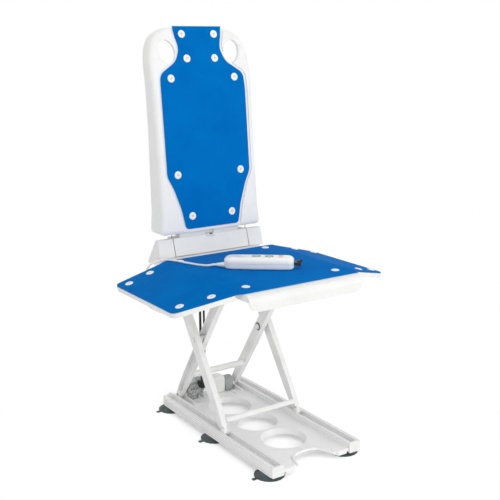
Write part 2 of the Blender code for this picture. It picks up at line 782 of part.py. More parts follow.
def gear_outline(center, teeth, phase):
    """Outline of a spur gear with straight-sided teeth that narrow to their tips."""
    pitch = GEAR_MODULE * teeth / 2
    outline = []
    for tooth in range(teeth):
        middle = phase + 2 * math.pi * tooth / teeth
        width = math.pi / teeth
        for share, radius in ((-0.62, -1.2), (-0.24, 0.92), (0.24, 0.92), (0.62, -1.2)):
            angle = middle + share * width
            reach = pitch + radius * GEAR_MODULE
            outline.append((center[0] + reach * math.cos(angle), center[1] + reach * math.sin(angle)))
    return outline


def gearbox_front():
    return min(MOTOR_Y - 0.015, FOOT_Y - GEAR_PITCH_RADIUS - GEAR_MODULE - 0.006)


def gearbox():
    """Gear casing round the foot axle and the motor shaft, with a slot for the gears that opens below."""
    clearance = 0.00125
    gear_room = GEAR_PITCH_RADIUS + GEAR_MODULE + clearance
    pinion_room = PINION_PITCH_RADIUS + GEAR_MODULE + clearance
    front = gearbox_front()
    rear = FOOT_Y + gear_room + GEARBOX_WALL
    bottom = PLATE_BOTTOM + 0.0005
    top = MOTOR_Z + MOTOR_RADIUS + 0.0045
    corners = [
        (front, bottom, 0.005),
        (rear, bottom, 0.010),
        (rear, FOOT_HEIGHT + gear_room * 0.9, 0.014),
        (MOTOR_Y + 0.013, top, 0.008),
        (front, top, 0.006),
    ]
    casing = extruded(fillet(corners, 3), GEARBOX_OUTER_X, GEARBOX_INNER_X, "X")
    half = GEARBOX_SLOT_WIDTH / 2
    gear_center = (GEAR_X, FOOT_Y, FOOT_HEIGHT)
    motor_center = (GEAR_X, MOTOR_Y, MOTOR_Z)
    casing = cut(
        casing,
        block((GEAR_X - half, GEAR_X + half), (FOOT_Y - 0.014, FOOT_Y + 0.014), (bottom - 0.01, FOOT_HEIGHT)),
        rod("X", gear_center, gear_room, -half, half, 24),
        rod("X", motor_center, pinion_room, -half, half, 16),
        rod("X", gear_center, SHAFT_RADIUS + BORE_GAP, -0.05, 0.05, 16),
        rod("X", motor_center, ROTOR_SHAFT_RADIUS + BORE_GAP, -half - 0.006, 0.05, 12),
    )
    for level in (0.35, 0.62):
        z = bottom + (top - bottom) * level
        casing = cut(casing, block((GEARBOX_OUTER_X + 0.012, GEARBOX_INNER_X - 0.006),
                                   (front - 0.01, front + 0.0025), (z, z + 0.006)))
    return casing


def motor_can():
    """Cup of the motor, open towards the gear casing that closes it."""
    start = GEARBOX_INNER_X + GAP
    profile = [
        (0.0, MOTOR_LENGTH),
        (MOTOR_RADIUS * 0.45, MOTOR_LENGTH),
        (MOTOR_RADIUS * 0.45, MOTOR_LENGTH - 0.0012),
        (MOTOR_RADIUS - 0.0015, MOTOR_LENGTH - 0.0012),
        (MOTOR_RADIUS, MOTOR_LENGTH - 0.0030),
        (MOTOR_RADIUS, 0.0),
        (MOTOR_RADIUS - MOTOR_WALL, 0.0),
        (MOTOR_RADIUS - MOTOR_WALL, MOTOR_LENGTH - 0.0045),
        (0.0, MOTOR_LENGTH - 0.0045),
    ]
    return turned(profile, "X", (start, MOTOR_Y, MOTOR_Z), 20)


def motor_rotor():
    """Rotor with its shaft and the pinion cut on the shaft's end."""
    start = GEARBOX_INNER_X + GAP
    core = rod("X", (start, MOTOR_Y, MOTOR_Z), ROTOR_RADIUS, 0.003, MOTOR_LENGTH - 0.008, 16)
    shaft_start = GEAR_X - GEAR_WIDTH / 2 - 0.006 - start
    shaft = rod("X", (start, MOTOR_Y, MOTOR_Z), ROTOR_SHAFT_RADIUS, shaft_start, MOTOR_LENGTH - 0.006, 12)
    phase = MESH_ANGLE + math.pi + math.pi / PINION_TEETH
    pinion = extruded(
        gear_outline((MOTOR_Y, MOTOR_Z), PINION_TEETH, phase),
        GEAR_X - GEAR_WIDTH / 2, GEAR_X + GEAR_WIDTH / 2, "X",
    )
    return joined(core, shaft, pinion)


def drive_gear():
    """Spur gear on the foot axle, with a bore that fits the shaft."""
    bore = circle((FOOT_Y, FOOT_HEIGHT), SHAFT_RADIUS + BORE_GAP, 16)
    outline = gear_outline((FOOT_Y, FOOT_HEIGHT), GEAR_TEETH, MESH_ANGLE)
    return extruded(outline, GEAR_X - GEAR_WIDTH / 2, GEAR_X + GEAR_WIDTH / 2, "X", [bore])


def drive_housing_start():
    return GEARBOX_INNER_X + GAP + MOTOR_LENGTH + GAP


def drive_housing():
    """White housing next to the motor, with a round boss on top."""
    start = drive_housing_start()
    front = MOTOR_Y - DRIVE_DEPTH * 0.36
    bottom = PLATE_TOP + GAP
    top = bottom + HOUSING_HEIGHT
    corners = [
        (front, bottom, 0.003),
        (front + DRIVE_DEPTH, bottom, 0.003),
        (front + DRIVE_DEPTH, top, 0.012),
        (front, top, 0.010),
    ]
    shell = rounded_edges(extruded(fillet(corners), start, start + HOUSING_WIDTH, "X"), 0.0015, 2)
    boss_place = (start + HOUSING_WIDTH * 0.42, front + DRIVE_DEPTH * 0.40, top)
    profile = [(0.0, 0.006), (0.0075, 0.006), (0.0090, 0.0045), (0.0090, -0.004), (0.0, -0.004)]
    return joined(shell, turned(profile, "Z", boss_place, 16))


def drive_bracket():
    """Dark stand with a round head that holds the inner end of the drive."""
    start = drive_housing_start() + HOUSING_WIDTH + GAP
    end = min(start + DRIVE_BRACKET_WIDTH, BRACKET_INNER_X - GAP)
    front = MOTOR_Y - DRIVE_DEPTH * 0.36
    bottom = PLATE_TOP + GAP
    head = DRIVE_BRACKET_HEIGHT * 0.42
    center = (front + DRIVE_DEPTH * 0.42, bottom + DRIVE_BRACKET_HEIGHT - head)
    body = extruded(
        fillet([
            (front, bottom, 0.002),
            (front + DRIVE_DEPTH * 0.86, bottom, 0.002),
            (center[0] + head, center[1]),
            (center[0] - head, center[1]),
        ]),
        start + 0.004, end - 0.006, "X",
    )
    drum = [
        (0.0, end - start),
        (head * 0.55, end - start),
        (head * 0.60, end - start - 0.002),
        (head * 0.93, end - start - 0.003),
        (head, end - start - 0.006),
        (head, 0.0015),
        (head - 0.0015, 0.0),
        (0.0, 0.0),
    ]
    return joined(body, turned(drum, "X", (start, *center), 18))


def cable_plug():
    """Plug at the front of the gear casing that takes both leads from above."""
    front = LEAD_Y - 0.009
    body = block((MOTOR_LEAD_X - 0.0065, SWITCH_LEAD_X + 0.006), (front, LEAD_Y + 0.0085), (0.066, PLUG_TOP))
    nose = block(
        (MOTOR_LEAD_X - 0.004, GEARBOX_INNER_X - 0.002),
        (LEAD_Y + 0.006, gearbox_front() - GAP),
        (0.068, PLUG_TOP - 0.003),
    )
    return joined(rounded_edges(body, 0.002, 2), nose)


def gland_bottom():
    return PLUG_TOP + GAP * 10 + LEG_LENGTH * (math.sin(REST_ANGLE) - math.sin(LOWERED_ANGLE))


def drive_lead(x, radius, bow):
    """Lead from the plug up to the seat, with a slight bow."""
    bottom = PLUG_TOP + GAP
    top = gland_bottom() - GAP
    count = 22
    points = []
    for index in range(count + 1):
        share = index / count
        points.append((x + bow * math.sin(math.pi * share) ** 2, LEAD_Y, bottom + (top - bottom) * share))
    return tube(points, radius)


def leg_half_depth(along):
    """Half of a leg's depth at a place along it, measured from the foot."""
    share = min(max(along / LEG_TAPER, 0.0), 1.0)
    return LEG_FOOT_RADIUS + (LEG_DEPTH / 2 - LEG_FOOT_RADIUS) * share


def leg_outline(top_radius):
    """Side view of a leg in (along, across), with round ends at the foot and top pivots."""
    outline = []
    steps = 6
    for index in range(steps + 1):
        angle = math.pi / 2 + math.pi * index / steps
        outline.append((LEG_FOOT_RADIUS * math.cos(angle), LEG_FOOT_RADIUS * math.sin(angle)))
    outline.append((LEG_TAPER, -LEG_DEPTH / 2))
    outline.append((LEG_LENGTH - LEG_TAPER * 0.55, -LEG_DEPTH / 2))
    for index in range(steps + 1):
        angle = -math.pi / 2 + math.pi * index / steps
        outline.append((LEG_LENGTH + top_radius * math.cos(angle), top_radius * math.sin(angle)))
    outline.append((LEG_LENGTH - LEG_TAPER * 0.55, LEG_DEPTH / 2))
    outline.append((LEG_TAPER, LEG_DEPTH / 2))
    return outline


def leg_pocket(top_radius):
    """Outline of the open space in a leg, one wall inside the leg's own outline."""
    start = LEG_END_SOLID
    end = LEG_LENGTH - LEG_END_SOLID
    near_top = LEG_LENGTH - LEG_TAPER * 0.55
    share = (end - near_top) / (LEG_LENGTH - near_top)
    end_half = LEG_DEPTH / 2 + (top_radius - LEG_DEPTH / 2) * share
    low = [
        (start, -leg_half_depth(start) + LEG_WALL),
        (LEG_TAPER, -LEG_DEPTH / 2 + LEG_WALL),
        (near_top, -LEG_DEPTH / 2 + LEG_WALL),
        (end, -end_half + LEG_WALL),
    ]
    return low + [(along, -across) for along, across in reversed(low)]


def leg_place(pair):
    """Matrix from a leg's (along, across, x) to the world.

    Across points to the front and up on the outer legs, and to the front and down on the inner ones.
    """
    cosine = math.cos(REST_ANGLE)
    sine = math.sin(REST_ANGLE)
    if pair == "outer":
        along = Vector((0, cosine, sine))
        across = Vector((0, -sine, cosine))
        foot = Vector((0, OUTER_FOOT_Y, FOOT_HEIGHT))
    else:
        along = Vector((0, -cosine, sine))
        across = Vector((0, -sine, -cosine))
        foot = Vector((0, FOOT_Y, FOOT_HEIGHT))
    rows = [[along[i], across[i], 1.0 if i == 0 else 0.0, foot[i]] for i in range(3)]
    return Matrix((*rows, (0, 0, 0, 1)))


def leg_point(pair, along, across=0.0):
    """World place on the middle plane of a leg."""
    return leg_place(pair) @ Vector((along, across, 0.0))


def outer_leg():
    """Outer leg, a channel open to the rear, with a pivot pin at its top and a tongue between the roller's discs."""
    low = OUTER_LEG_X - LEG_WIDTH / 2
    high = OUTER_LEG_X + LEG_WIDTH / 2
    leg = extruded(leg_outline(OUTER_TOP_RADIUS), low, high, "Z")
    disc = FOOT_DISC_RADIUS + 0.0018
    for side in ((low - 0.01, OUTER_LEG_X - FOOT_TONGUE_WIDTH / 2), (OUTER_LEG_X + FOOT_TONGUE_WIDTH / 2, high + 0.01)):
        leg = cut(leg, block((-disc, disc), (-0.03, 0.03), side))
    pocket = block(
        (LEG_END_SOLID * 1.5, LEG_LENGTH - LEG_END_SOLID),
        (-LEG_DEPTH, leg_half_depth(LEG_END_SOLID * 1.5) - LEG_WALL),
        (low + LEG_WALL, high - LEG_WALL),
    )
    leg = cut(leg, pocket)
    leg = cut(
        leg,
        rod("Z", (0, 0, OUTER_LEG_X), FOOT_PIN_RADIUS + BORE_GAP, -LEG_WIDTH, LEG_WIDTH, 12),
        rod("Z", (LOWER_LENGTH, 0, OUTER_LEG_X), CENTER_BOLT_RADIUS + BORE_GAP, -LEG_WIDTH, LEG_WIDTH, 16),
    )
    reach = LEG_WIDTH / 2 + CLEVIS_GAP + CLEVIS_THICKNESS
    leg = joined(leg, rod("Z", (LEG_LENGTH, 0, OUTER_LEG_X), TOP_PIVOT_RADIUS, -reach, reach, 16))
    return moved(leg, leg_place("outer"))


def inner_leg():
    """Inner leg, a channel open to the outside, with the bore of the shaft and the pin of the top roller."""
    low = INNER_LEG_X - LEG_WIDTH / 2
    high = INNER_LEG_X + LEG_WIDTH / 2
    leg = extruded(leg_outline(INNER_TOP_RADIUS), low, high, "Z")
    leg = cut(leg, extruded(leg_pocket(INNER_TOP_RADIUS), low + LEG_WALL, high + 0.01, "Z"))
    leg = joined(
        leg,
        ring("Z", (LOWER_LENGTH, 0, low), CENTER_RING_RADIUS, CENTER_BOLT_RADIUS + 0.002,
             -CENTER_RING_THICKNESS, LEG_WALL / 2, 16),
    )
    leg = cut(
        leg,
        rod("Z", (0, 0, INNER_LEG_X), SHAFT_RADIUS + BORE_GAP, -LEG_WIDTH, LEG_WIDTH, 16),
        rod("Z", (LOWER_LENGTH, 0, INNER_LEG_X), CENTER_BOLT_RADIUS + BORE_GAP, -LEG_WIDTH, LEG_WIDTH, 16),
    )
    pin_end = low - TOP_ROLLER_WIDTH - 0.0063
    leg = joined(leg, rod("Z", (LEG_LENGTH, 0, low), TOP_PIN_RADIUS, pin_end - low, LEG_WIDTH / 2, 12))
    return moved(leg, leg_place("inner"))


def center_bolt():
    """Pivot bolt where the legs cross: a head inside, a spacing collar between the legs and a head outside."""
    inner_head = INNER_LEG_FACE - CENTER_RING_THICKNESS - GAP
    profile = [
        (0.0, OUTER_LEG_X + LEG_WIDTH / 2 + GAP + CENTER_HEAD_THICKNESS),
        (CENTER_HEAD_RADIUS - 0.001, OUTER_LEG_X + LEG_WIDTH / 2 + GAP + CENTER_HEAD_THICKNESS),
        (CENTER_HEAD_RADIUS, OUTER_LEG_X + LEG_WIDTH / 2 + GAP + CENTER_HEAD_THICKNESS - 0.001),
        (CENTER_HEAD_RADIUS, OUTER_LEG_X + LEG_WIDTH / 2 + GAP),
        (CENTER_BOLT_RADIUS, OUTER_LEG_X + LEG_WIDTH / 2 + GAP),
        (CENTER_BOLT_RADIUS, OUTER_LEG_FACE - GAP),
        (CENTER_COLLAR_RADIUS, OUTER_LEG_FACE - GAP),
        (CENTER_COLLAR_RADIUS, INNER_LEG_FACE + LEG_WALL + GAP),
        (CENTER_BOLT_RADIUS, INNER_LEG_FACE + LEG_WALL + GAP),
        (CENTER_BOLT_RADIUS, inner_head),
        (CENTER_HEAD_RADIUS, inner_head),
        (CENTER_HEAD_RADIUS, inner_head - CENTER_HEAD_THICKNESS + 0.001),
        (CENTER_HEAD_RADIUS - 0.001, inner_head - CENTER_HEAD_THICKNESS),
        (0.0, inner_head - CENTER_HEAD_THICKNESS),
    ]
    return turned(profile, "X", (0, CENTER_Y, CENTER_Z), 16)


def cross_bar():
    """Flat band between the outer legs, just above their feet."""
    half = OUTER_LEG_FACE - GAP
    corners = [
        (CROSS_BAR_STATION - CROSS_BAR_DEPTH / 2, CROSS_BAR_OFFSET - CROSS_BAR_THICKNESS / 2, 0.0015),
        (CROSS_BAR_STATION + CROSS_BAR_DEPTH / 2, CROSS_BAR_OFFSET - CROSS_BAR_THICKNESS / 2, 0.0015),
        (CROSS_BAR_STATION + CROSS_BAR_DEPTH / 2, CROSS_BAR_OFFSET + CROSS_BAR_THICKNESS / 2, 0.0015),
        (CROSS_BAR_STATION - CROSS_BAR_DEPTH / 2, CROSS_BAR_OFFSET + CROSS_BAR_THICKNESS / 2, 0.0015),
    ]
    bar = extruded(fillet(corners, 2), -half, half, "Z")
    return moved(bar, leg_place("outer"))


def cross_tube():
    """Round tube between the inner legs."""
    half = INNER_LEG_FACE - GAP
    place = leg_point("inner", CROSS_TUBE_STATION, CROSS_TUBE_OFFSET)
    return rod("X", place, CROSS_TUBE_RADIUS, -half, half, 20)


def foot_roller():
    """Spool of two discs on a pin through the leg's tongue, drawn for the right side."""
    inner = FOOT_TONGUE_WIDTH / 2 + 0.0005
    outer = inner + FOOT_DISC_THICKNESS
    end = outer + 0.0004
    profile = [
        (0.0, end),
        (FOOT_PIN_RADIUS + 0.0012, end),
        (FOOT_PIN_RADIUS + 0.0012, outer),
        (FOOT_DISC_RADIUS - 0.0012, outer),
        (FOOT_DISC_RADIUS, outer - 0.0012),
        (FOOT_DISC_RADIUS, inner),
        (FOOT_PIN_RADIUS, inner),
    ]
    profile += [(radius, -place) for radius, place in reversed(profile)]
    return turned(profile, "X", (OUTER_LEG_X, OUTER_FOOT_Y, FOOT_HEIGHT), 18)


def top_roller():
    """Roller on the top pin of an inner leg, drawn for the right side."""
    outer = INNER_LEG_FACE - 0.0068
    profile = [
        (TOP_PIN_RADIUS + BORE_GAP, 0.0),
        (TOP_ROLLER_RADIUS - 0.0008, 0.0),
        (TOP_ROLLER_RADIUS, -0.0008),
        (TOP_ROLLER_RADIUS, 0.0008 - TOP_ROLLER_WIDTH),
        (TOP_ROLLER_RADIUS - 0.0008, -TOP_ROLLER_WIDTH),
        (TOP_PIN_RADIUS + BORE_GAP, -TOP_ROLLER_WIDTH),
    ]
    return turned(profile, "X", (outer, INNER_TOP_Y, TOP_Z), 16, closed=True)


def seat_track():
    """C-shaped track under the seat for the top roller, open to the outside, drawn for the right side."""
    outline = [
        (TRACK_INNER_X, TRACK_BOTTOM),
        (TRACK_OUTER_X, TRACK_BOTTOM),
        (TRACK_OUTER_X, TRACK_BOTTOM + TRACK_WALL),
        (TRACK_INNER_X + TRACK_WALL, TRACK_BOTTOM + TRACK_WALL),
        (TRACK_INNER_X + TRACK_WALL, TRACK_TOP - TRACK_WALL),
        (TRACK_OUTER_X, TRACK_TOP - TRACK_WALL),
        (TRACK_OUTER_X, TRACK_TOP),
        (TRACK_INNER_X, TRACK_TOP),
    ]
    return extruded(outline, TRACK_FRONT, TRACK_REAR, "Y")


def knuckle_spans(count=5):
    """Places along the flap hinge of its knuckles, front to rear, with a small gap between them."""
    length = (HINGE_REAR - HINGE_FRONT) / count
    return [
        (HINGE_FRONT + index * length + 0.0004, HINGE_FRONT + (index + 1) * length - 0.0004)
        for index in range(count)
    ]


def rivet(x, y, base, top):
    """Round head that holds a cover down."""
    profile = [
        (0.0, top),
        (RIVET_RADIUS - RIVET_EDGE, top),
        (RIVET_RADIUS, top - RIVET_EDGE * 0.6),
        (RIVET_RADIUS, base),
        (0.0, base),
    ]
    return turned(profile, "Z", (x, y, 0.0), 16)


def seat_skin():
    """Top skin of the seat, its apron with round lower corners and its rear deck, all in one wall."""
    side = SEAT_HALF_WIDTH
    bottom = SEAT_TOP - APRON_DROP
    steps = 5
    outer = []
    inner = []
    for index in range(steps + 1):
        angle = math.pi / 2 * index / steps
        small = APRON_LIP - APRON_WALL
        y = APRON_FRONT + APRON_LIP
        z = SEAT_TOP - APRON_LIP
        outer.append((y - APRON_LIP * math.sin(angle), z + APRON_LIP * math.cos(angle)))
        inner.append((y - small * math.sin(angle), z + small * math.cos(angle)))
    section = [
        (DECK_REAR, SEAT_TOP),
        *outer,
        (APRON_FRONT, bottom),
        (APRON_FRONT + APRON_WALL, bottom),
        *reversed(inner),
        (APRON_FRONT + APRON_LIP * 1.4, SEAT_BOTTOM),
        (DECK_REAR, SEAT_BOTTOM),
    ]
    plan = fillet([
        (-side, APRON_FRONT - 0.01),
        (side, APRON_FRONT - 0.01),
        (side, SEAT_REAR, 0.020),
        (DECK_HALF_WIDTH, SEAT_REAR + 0.001, 0.004),
        (DECK_HALF_WIDTH, DECK_REAR - 0.0005, 0.006),
        (-DECK_HALF_WIDTH, DECK_REAR - 0.0005, 0.006),
        (-DECK_HALF_WIDTH, SEAT_REAR + 0.001, 0.004),
        (-side, SEAT_REAR, 0.020),
    ])
    front_view = fillet([
        (-side - 0.001, bottom, APRON_CORNER),
        (side + 0.001, bottom, APRON_CORNER),
        (side + 0.001, SEAT_TOP + 0.01),
        (-side - 0.001, SEAT_TOP + 0.01),
    ], 5)
    skin = extruded(section, -side - 0.002, side + 0.002, "X")
    return combined(
        skin,
        [
            extruded(plan, bottom - 0.01, SEAT_TOP + 0.01, "Z"),
            extruded(front_view, APRON_FRONT - 0.01, DECK_REAR + 0.01, "Y"),
        ],
        "INTERSECT",
    )


def seat_plate():
    """Moulded seat: skin and apron, side skirts, ribs over the tracks, clevises, knuckles and rivets."""
    side = SEAT_HALF_WIDTH
    rib_top = SEAT_BOTTOM + 0.002
    rib_bottom = SEAT_BOTTOM - SEAT_RIB_HEIGHT
    pieces = []
    for sign in SIDES.values():
        pieces.append(block(
            sorted((sign * (TRACK_INNER_X + 0.001), sign * (TRACK_OUTER_X - 0.002))),
            (TRACK_FRONT + 0.001, TRACK_REAR),
            (TRACK_TOP + GAP, rib_top),
        ))
        pieces.append(block(
            sorted((sign * (side - 0.004), sign * (side - 0.0006))),
            (APRON_FRONT + APRON_LIP * 0.5, SEAT_REAR - 0.022),
            (rib_bottom, rib_top),
        ))
    reach = TRACK_OUTER_X - 0.002
    for y in (TRACK_REAR + 0.012, SEAT_REAR - 0.030):
        pieces.append(block((-reach, reach), (y, y + 0.003), (rib_bottom - 0.0002, rib_top)))
    for sign in SIDES.values():
        pieces += [on_side(piece, sign) for piece in seat_clevis()]
        for start, end in knuckle_spans()[::2]:
            pieces.append(on_side(hinge_knuckle(start, end, side - 0.002), sign))
        for x, y in SEAT_RIVETS:
            pieces.append(rivet(sign * x, y, SEAT_BOTTOM + 0.002, COVER_TOP + RIVET_RISE))
    pieces.append(gland_block())
    plate = joined(seat_skin(), *pieces)
    for sign in SIDES.values():
        center = (sign * HINGE_X, 0.0, HINGE_Z)
        bore = rod("Y", center, HINGE_PIN_RADIUS + BORE_GAP, -HINGE_REAR - 0.01, -HINGE_FRONT + 0.01, 12)
        plate = cut(plate, bore)
    return plate


def seat_clevis():
    """Pair of lugs for the pivot pin on both sides of an outer leg, drawn for the right side."""
    half = CLEVIS_LENGTH / 2
    bottom = TOP_Z - 0.012
    lugs = []
    bore = circle((OUTER_TOP_Y, TOP_Z), TOP_PIVOT_RADIUS + BORE_GAP, 16)
    corners = [
        (OUTER_TOP_Y - half, SEAT_BOTTOM + 0.002),
        (OUTER_TOP_Y - half * 0.55, bottom, 0.006),
        (OUTER_TOP_Y + half * 0.55, bottom, 0.006),
        (OUTER_TOP_Y + half, SEAT_BOTTOM + 0.002),
    ]
    for face in (
        OUTER_LEG_X - LEG_WIDTH / 2 - CLEVIS_GAP - CLEVIS_THICKNESS,
        OUTER_LEG_X + LEG_WIDTH / 2 + CLEVIS_GAP,
    ):
        lugs.append(extruded(fillet(corners), face, face + CLEVIS_THICKNESS, "X", [bore]))
    return lugs


def hinge_knuckle(start, end, web_to):
    """One knuckle of the flap hinge with the web that ties it to the seat, drawn for the right side."""
    center = (HINGE_X, 0.0, HINGE_Z)
    barrel = rod("Y", center, KNUCKLE_RADIUS, -end, -start, 10)
    thick = KNUCKLE_RADIUS * 0.7
    web = block((web_to, HINGE_X), (start + 0.001, end - 0.001), (HINGE_Z - thick, HINGE_Z + thick))
    return joined(barrel, web)


def gland_block():
    """Moulded guide under the deck where the drive leads enter the seat."""
    return block(
        (MOTOR_LEAD_X - 0.008, SWITCH_LEAD_X + 0.008),
        (LEAD_Y - 0.009, LEAD_Y + 0.009),
        (gland_bottom(), SEAT_BOTTOM + 0.002),
    )


def seat_cover():
    """Blue cover of the seat's middle, with a hole for each rivet."""
    side = COVER_HALF_WIDTH
    corners = [
        (-side, COVER_FRONT, 0.003),
        (side, COVER_FRONT, 0.003),
        (side, COVER_REAR, 0.016),
        (-side, COVER_REAR, 0.016),
    ]
    holes = [
        circle((sign * x, y), RIVET_RADIUS + BORE_GAP, 16) for sign in SIDES.values() for x, y in SEAT_RIVETS
    ]
    return extruded(fillet(corners), SEAT_TOP + GAP, COVER_TOP, "Z", holes)


def flap_frame(side):
    """Matrix from a flap's (out, y, up) to the world, on its hinge axis and with its droop."""
    turn = Matrix.Rotation(FLAP_DROOP, 4, "Y")
    place = Matrix.Translation((HINGE_X, 0.0, HINGE_Z)) @ turn
    return MIRROR_X @ place if side < 0 else place


def flap_outline(start, inset, end):
    """Outline of a flap or its cover in (out, y)."""
    front_drop = FLAP_FRONT_OUTER - FLAP_FRONT_INNER
    return fillet([
        (start, FLAP_FRONT_INNER + inset, 0.003),
        (end, FLAP_FRONT_INNER + front_drop + inset, 0.022),
        (end, FLAP_REAR - inset, 0.014),
        (start, FLAP_REAR - inset, 0.003),
    ])


def flap(side):
    """Side flap: a tray with a rim below, knuckles and the hinge pin, and rivets for its cover."""
    low = FLAP_RISE - FLAP_EDGE
    plate = extruded(flap_outline(FLAP_INNER, 0.0, FLAP_WIDTH), low, FLAP_RISE, "Z")
    pocket = extruded(
        flap_outline(FLAP_INNER + FLAP_WALL, FLAP_WALL, FLAP_WIDTH - FLAP_WALL), low - 0.01, FLAP_RISE - FLAP_SKIN, "Z"
    )
    plate = cut(plate, pocket)
    tab = block((FLAP_WIDTH - 0.012, FLAP_WIDTH - 0.001), (-0.085, -0.030), (low - 0.004, low + 0.002))
    plate = joined(plate, tab)
    thin = KNUCKLE_RADIUS * 0.55
    for index, (start, end) in enumerate(knuckle_spans()):
        if index % 2 == 0:
            continue
        barrel = rod("Y", (0, 0, 0), KNUCKLE_RADIUS, -end, -start, 10)
        web = block((0.0, FLAP_INNER + 0.002), (start + 0.001, end - 0.001), (-thin, thin))
        plate = joined(plate, barrel, web)
    pin = rod("Y", (0, 0, 0), HINGE_PIN_RADIUS, -HINGE_REAR - 0.001, -HINGE_FRONT + 0.001, 10)
    plate = joined(plate, pin)
    top = FLAP_RISE + GAP + COVER_THICKNESS + RIVET_RISE
    for out, y in FLAP_RIVETS:
        plate = joined(plate, rivet(out, y, FLAP_RISE - 0.002, top))
    return moved(plate, flap_frame(side))


def flap_cover(side):
    """Blue cover of a flap, with a hole for each rivet."""
    holes = [circle((out, y), RIVET_RADIUS + BORE_GAP, 16) for out, y in FLAP_RIVETS]
    low = FLAP_RISE + GAP
    outline = flap_outline(FLAP_INNER + 0.001, 0.001, FLAP_WIDTH + 0.001)
    return moved(extruded(outline, low, low + COVER_THICKNESS, "Z", holes), flap_frame(side))


def hinge_cheek():
    """Side cheek of the hinge unit: a wedge open below, with the bore of the backrest's trunnion."""
    skirt = SEAT_TOP - UNIT_SKIRT
    outer = CHEEK_X + CHEEK_WIDTH
    corners = [
        (UNIT_FRONT, skirt + 0.008, 0.003),
        (UNIT_FRONT, SEAT_TOP + 0.0010),
        (UNIT_TOE, SEAT_TOP + 0.0010, 0.001),
        (UNIT_FRONT, UNIT_TOP, 0.004),
        (UNIT_FRONT + UNIT_TOP_DEPTH, UNIT_TOP, 0.003),
        (UNIT_REAR, skirt, 0.003),
        (UNIT_FRONT + 0.012, skirt, 0.004),
    ]
    cheek = extruded(fillet(corners, 3), CHEEK_X, outer, "X")
    cheek = rounded_edges(cheek, 0.0016, 2, 60.0)
    wall = CHEEK_WALL
    inside = [
        (UNIT_FRONT + wall, skirt - 0.02),
        (UNIT_FRONT + wall, UNIT_TOP - wall),
        (UNIT_FRONT + UNIT_TOP_DEPTH - wall * 0.6, UNIT_TOP - wall),
        (UNIT_REAR - wall * 1.7, skirt),
        (UNIT_REAR - wall * 1.7, skirt - 0.02),
    ]
    hollow = extruded(inside, CHEEK_X + wall, outer - wall, "X")
    seat_room = block(
        (CHEEK_X - 0.01, DECK_HALF_WIDTH + 0.0006), (UNIT_FRONT - 0.01, UNIT_REAR + 0.01), (skirt - 0.01, SEAT_TOP + GAP)
    )
    bore = rod("X", (CHEEK_X, RECLINE_Y, RECLINE_Z), TRUNNION_RADIUS + BORE_GAP, -0.01, wall + 0.01, 16)
    return cut(cheek, hollow, seat_room, bore)


def hinge_core():
    """Middle block of the hinge unit, which turns on two trunnions and carries the backrest."""
    half = CORE_HALF_WIDTH
    corners = [
        (UNIT_TOE, SEAT_TOP + 0.0010, 0.001),
        (UNIT_FRONT, UNIT_TOP, 0.004),
        (UNIT_FRONT + 0.038, UNIT_TOP, 0.006),
        (RECLINE_Y + BARREL_RADIUS, RECLINE_Z + 0.008),
    ]
    outline = fillet(corners, 3)
    steps = 6
    for index in range(steps + 1):
        angle = -math.pi / 2 * index / steps
        outline.append((
            RECLINE_Y + (BARREL_RADIUS - 0.0002) * math.cos(angle),
            RECLINE_Z + (BARREL_RADIUS - 0.0002) * math.sin(angle),
        ))
    core = extruded(outline, -half, half, "X")
    neck = block((-half * 0.8, half * 0.8), (UNIT_FRONT + 0.005, UNIT_FRONT + 0.034), (UNIT_TOP - 0.003, BACK_BOTTOM - GAP))
    hollow = block((-half + 0.006, half - 0.006), (UNIT_FRONT + 0.004, UNIT_FRONT + 0.026), (SEAT_TOP - 0.01, UNIT_TOP - 0.018))
    toe_hollow = block(
        (-half + 0.006, half - 0.006), (UNIT_TOE + 0.016, UNIT_FRONT + 0.010), (SEAT_TOP - 0.01, SEAT_TOP + 0.012)
    )
    pocket = block((-0.0135, 0.0135), (UNIT_FRONT - 0.01, UNIT_FRONT + 0.0095), (UNIT_TOP - 0.0075, UNIT_TOP + 0.01))
    core = cut(joined(core, neck), hollow, toe_hollow, pocket)
    for sign in SIDES.values():
        start = half - 0.002
        end = CHEEK_X + CHEEK_WALL
        x = (sign * (start + end) / 2, RECLINE_Y, RECLINE_Z)
        core = joined(core, rod("X", x, TRUNNION_RADIUS, -(end - start) / 2, (end - start) / 2, 16))
    return core


def latch_tab():
    """Release tab in the middle of the hinge unit, with a slot across its top."""
    body = block((-0.0130, 0.0130), (UNIT_FRONT - 0.0025, UNIT_FRONT + 0.0045), (UNIT_TOP - 0.0070, UNIT_TOP + 0.0020))
    body = rounded_edges(body, 0.001, 2)
    slot = block((-0.005, 0.005), (UNIT_FRONT - 0.01, UNIT_FRONT + 0.0005), (UNIT_TOP - 0.0025, UNIT_TOP))
    return cut(body, slot)


def lean(height):
    """How far the backrest's face lies behind its bottom edge at a height above that edge."""
    over = height - CROWN_START
    ramp = (over + math.sqrt(over * over + CROWN_SOFTNESS**2)) / 2
    return BACK_SLOPE * height + CROWN_SLOPE * ramp


def bent(mesh):
    """Upright mesh in (x, depth, height) laid along the lean of the backrest."""
    shape = bmesh.new()
    shape.from_mesh(mesh)
    for index in range(6):
        height = CROWN_START - 0.055 + 0.024 * index
        everything = shape.verts[:] + shape.edges[:] + shape.faces[:]
        bmesh.ops.bisect_plane(shape, geom=everything, plane_co=(0, 0, height), plane_no=(0, 0, 1), dist=1e-7)
    for vertex in shape.verts:
        x, depth, height = vertex.co
        vertex.co = (x, BACK_FACE + depth + lean(height), BACK_BOTTOM + height)
    shape.to_mesh(mesh)
    shape.free()
    return mesh


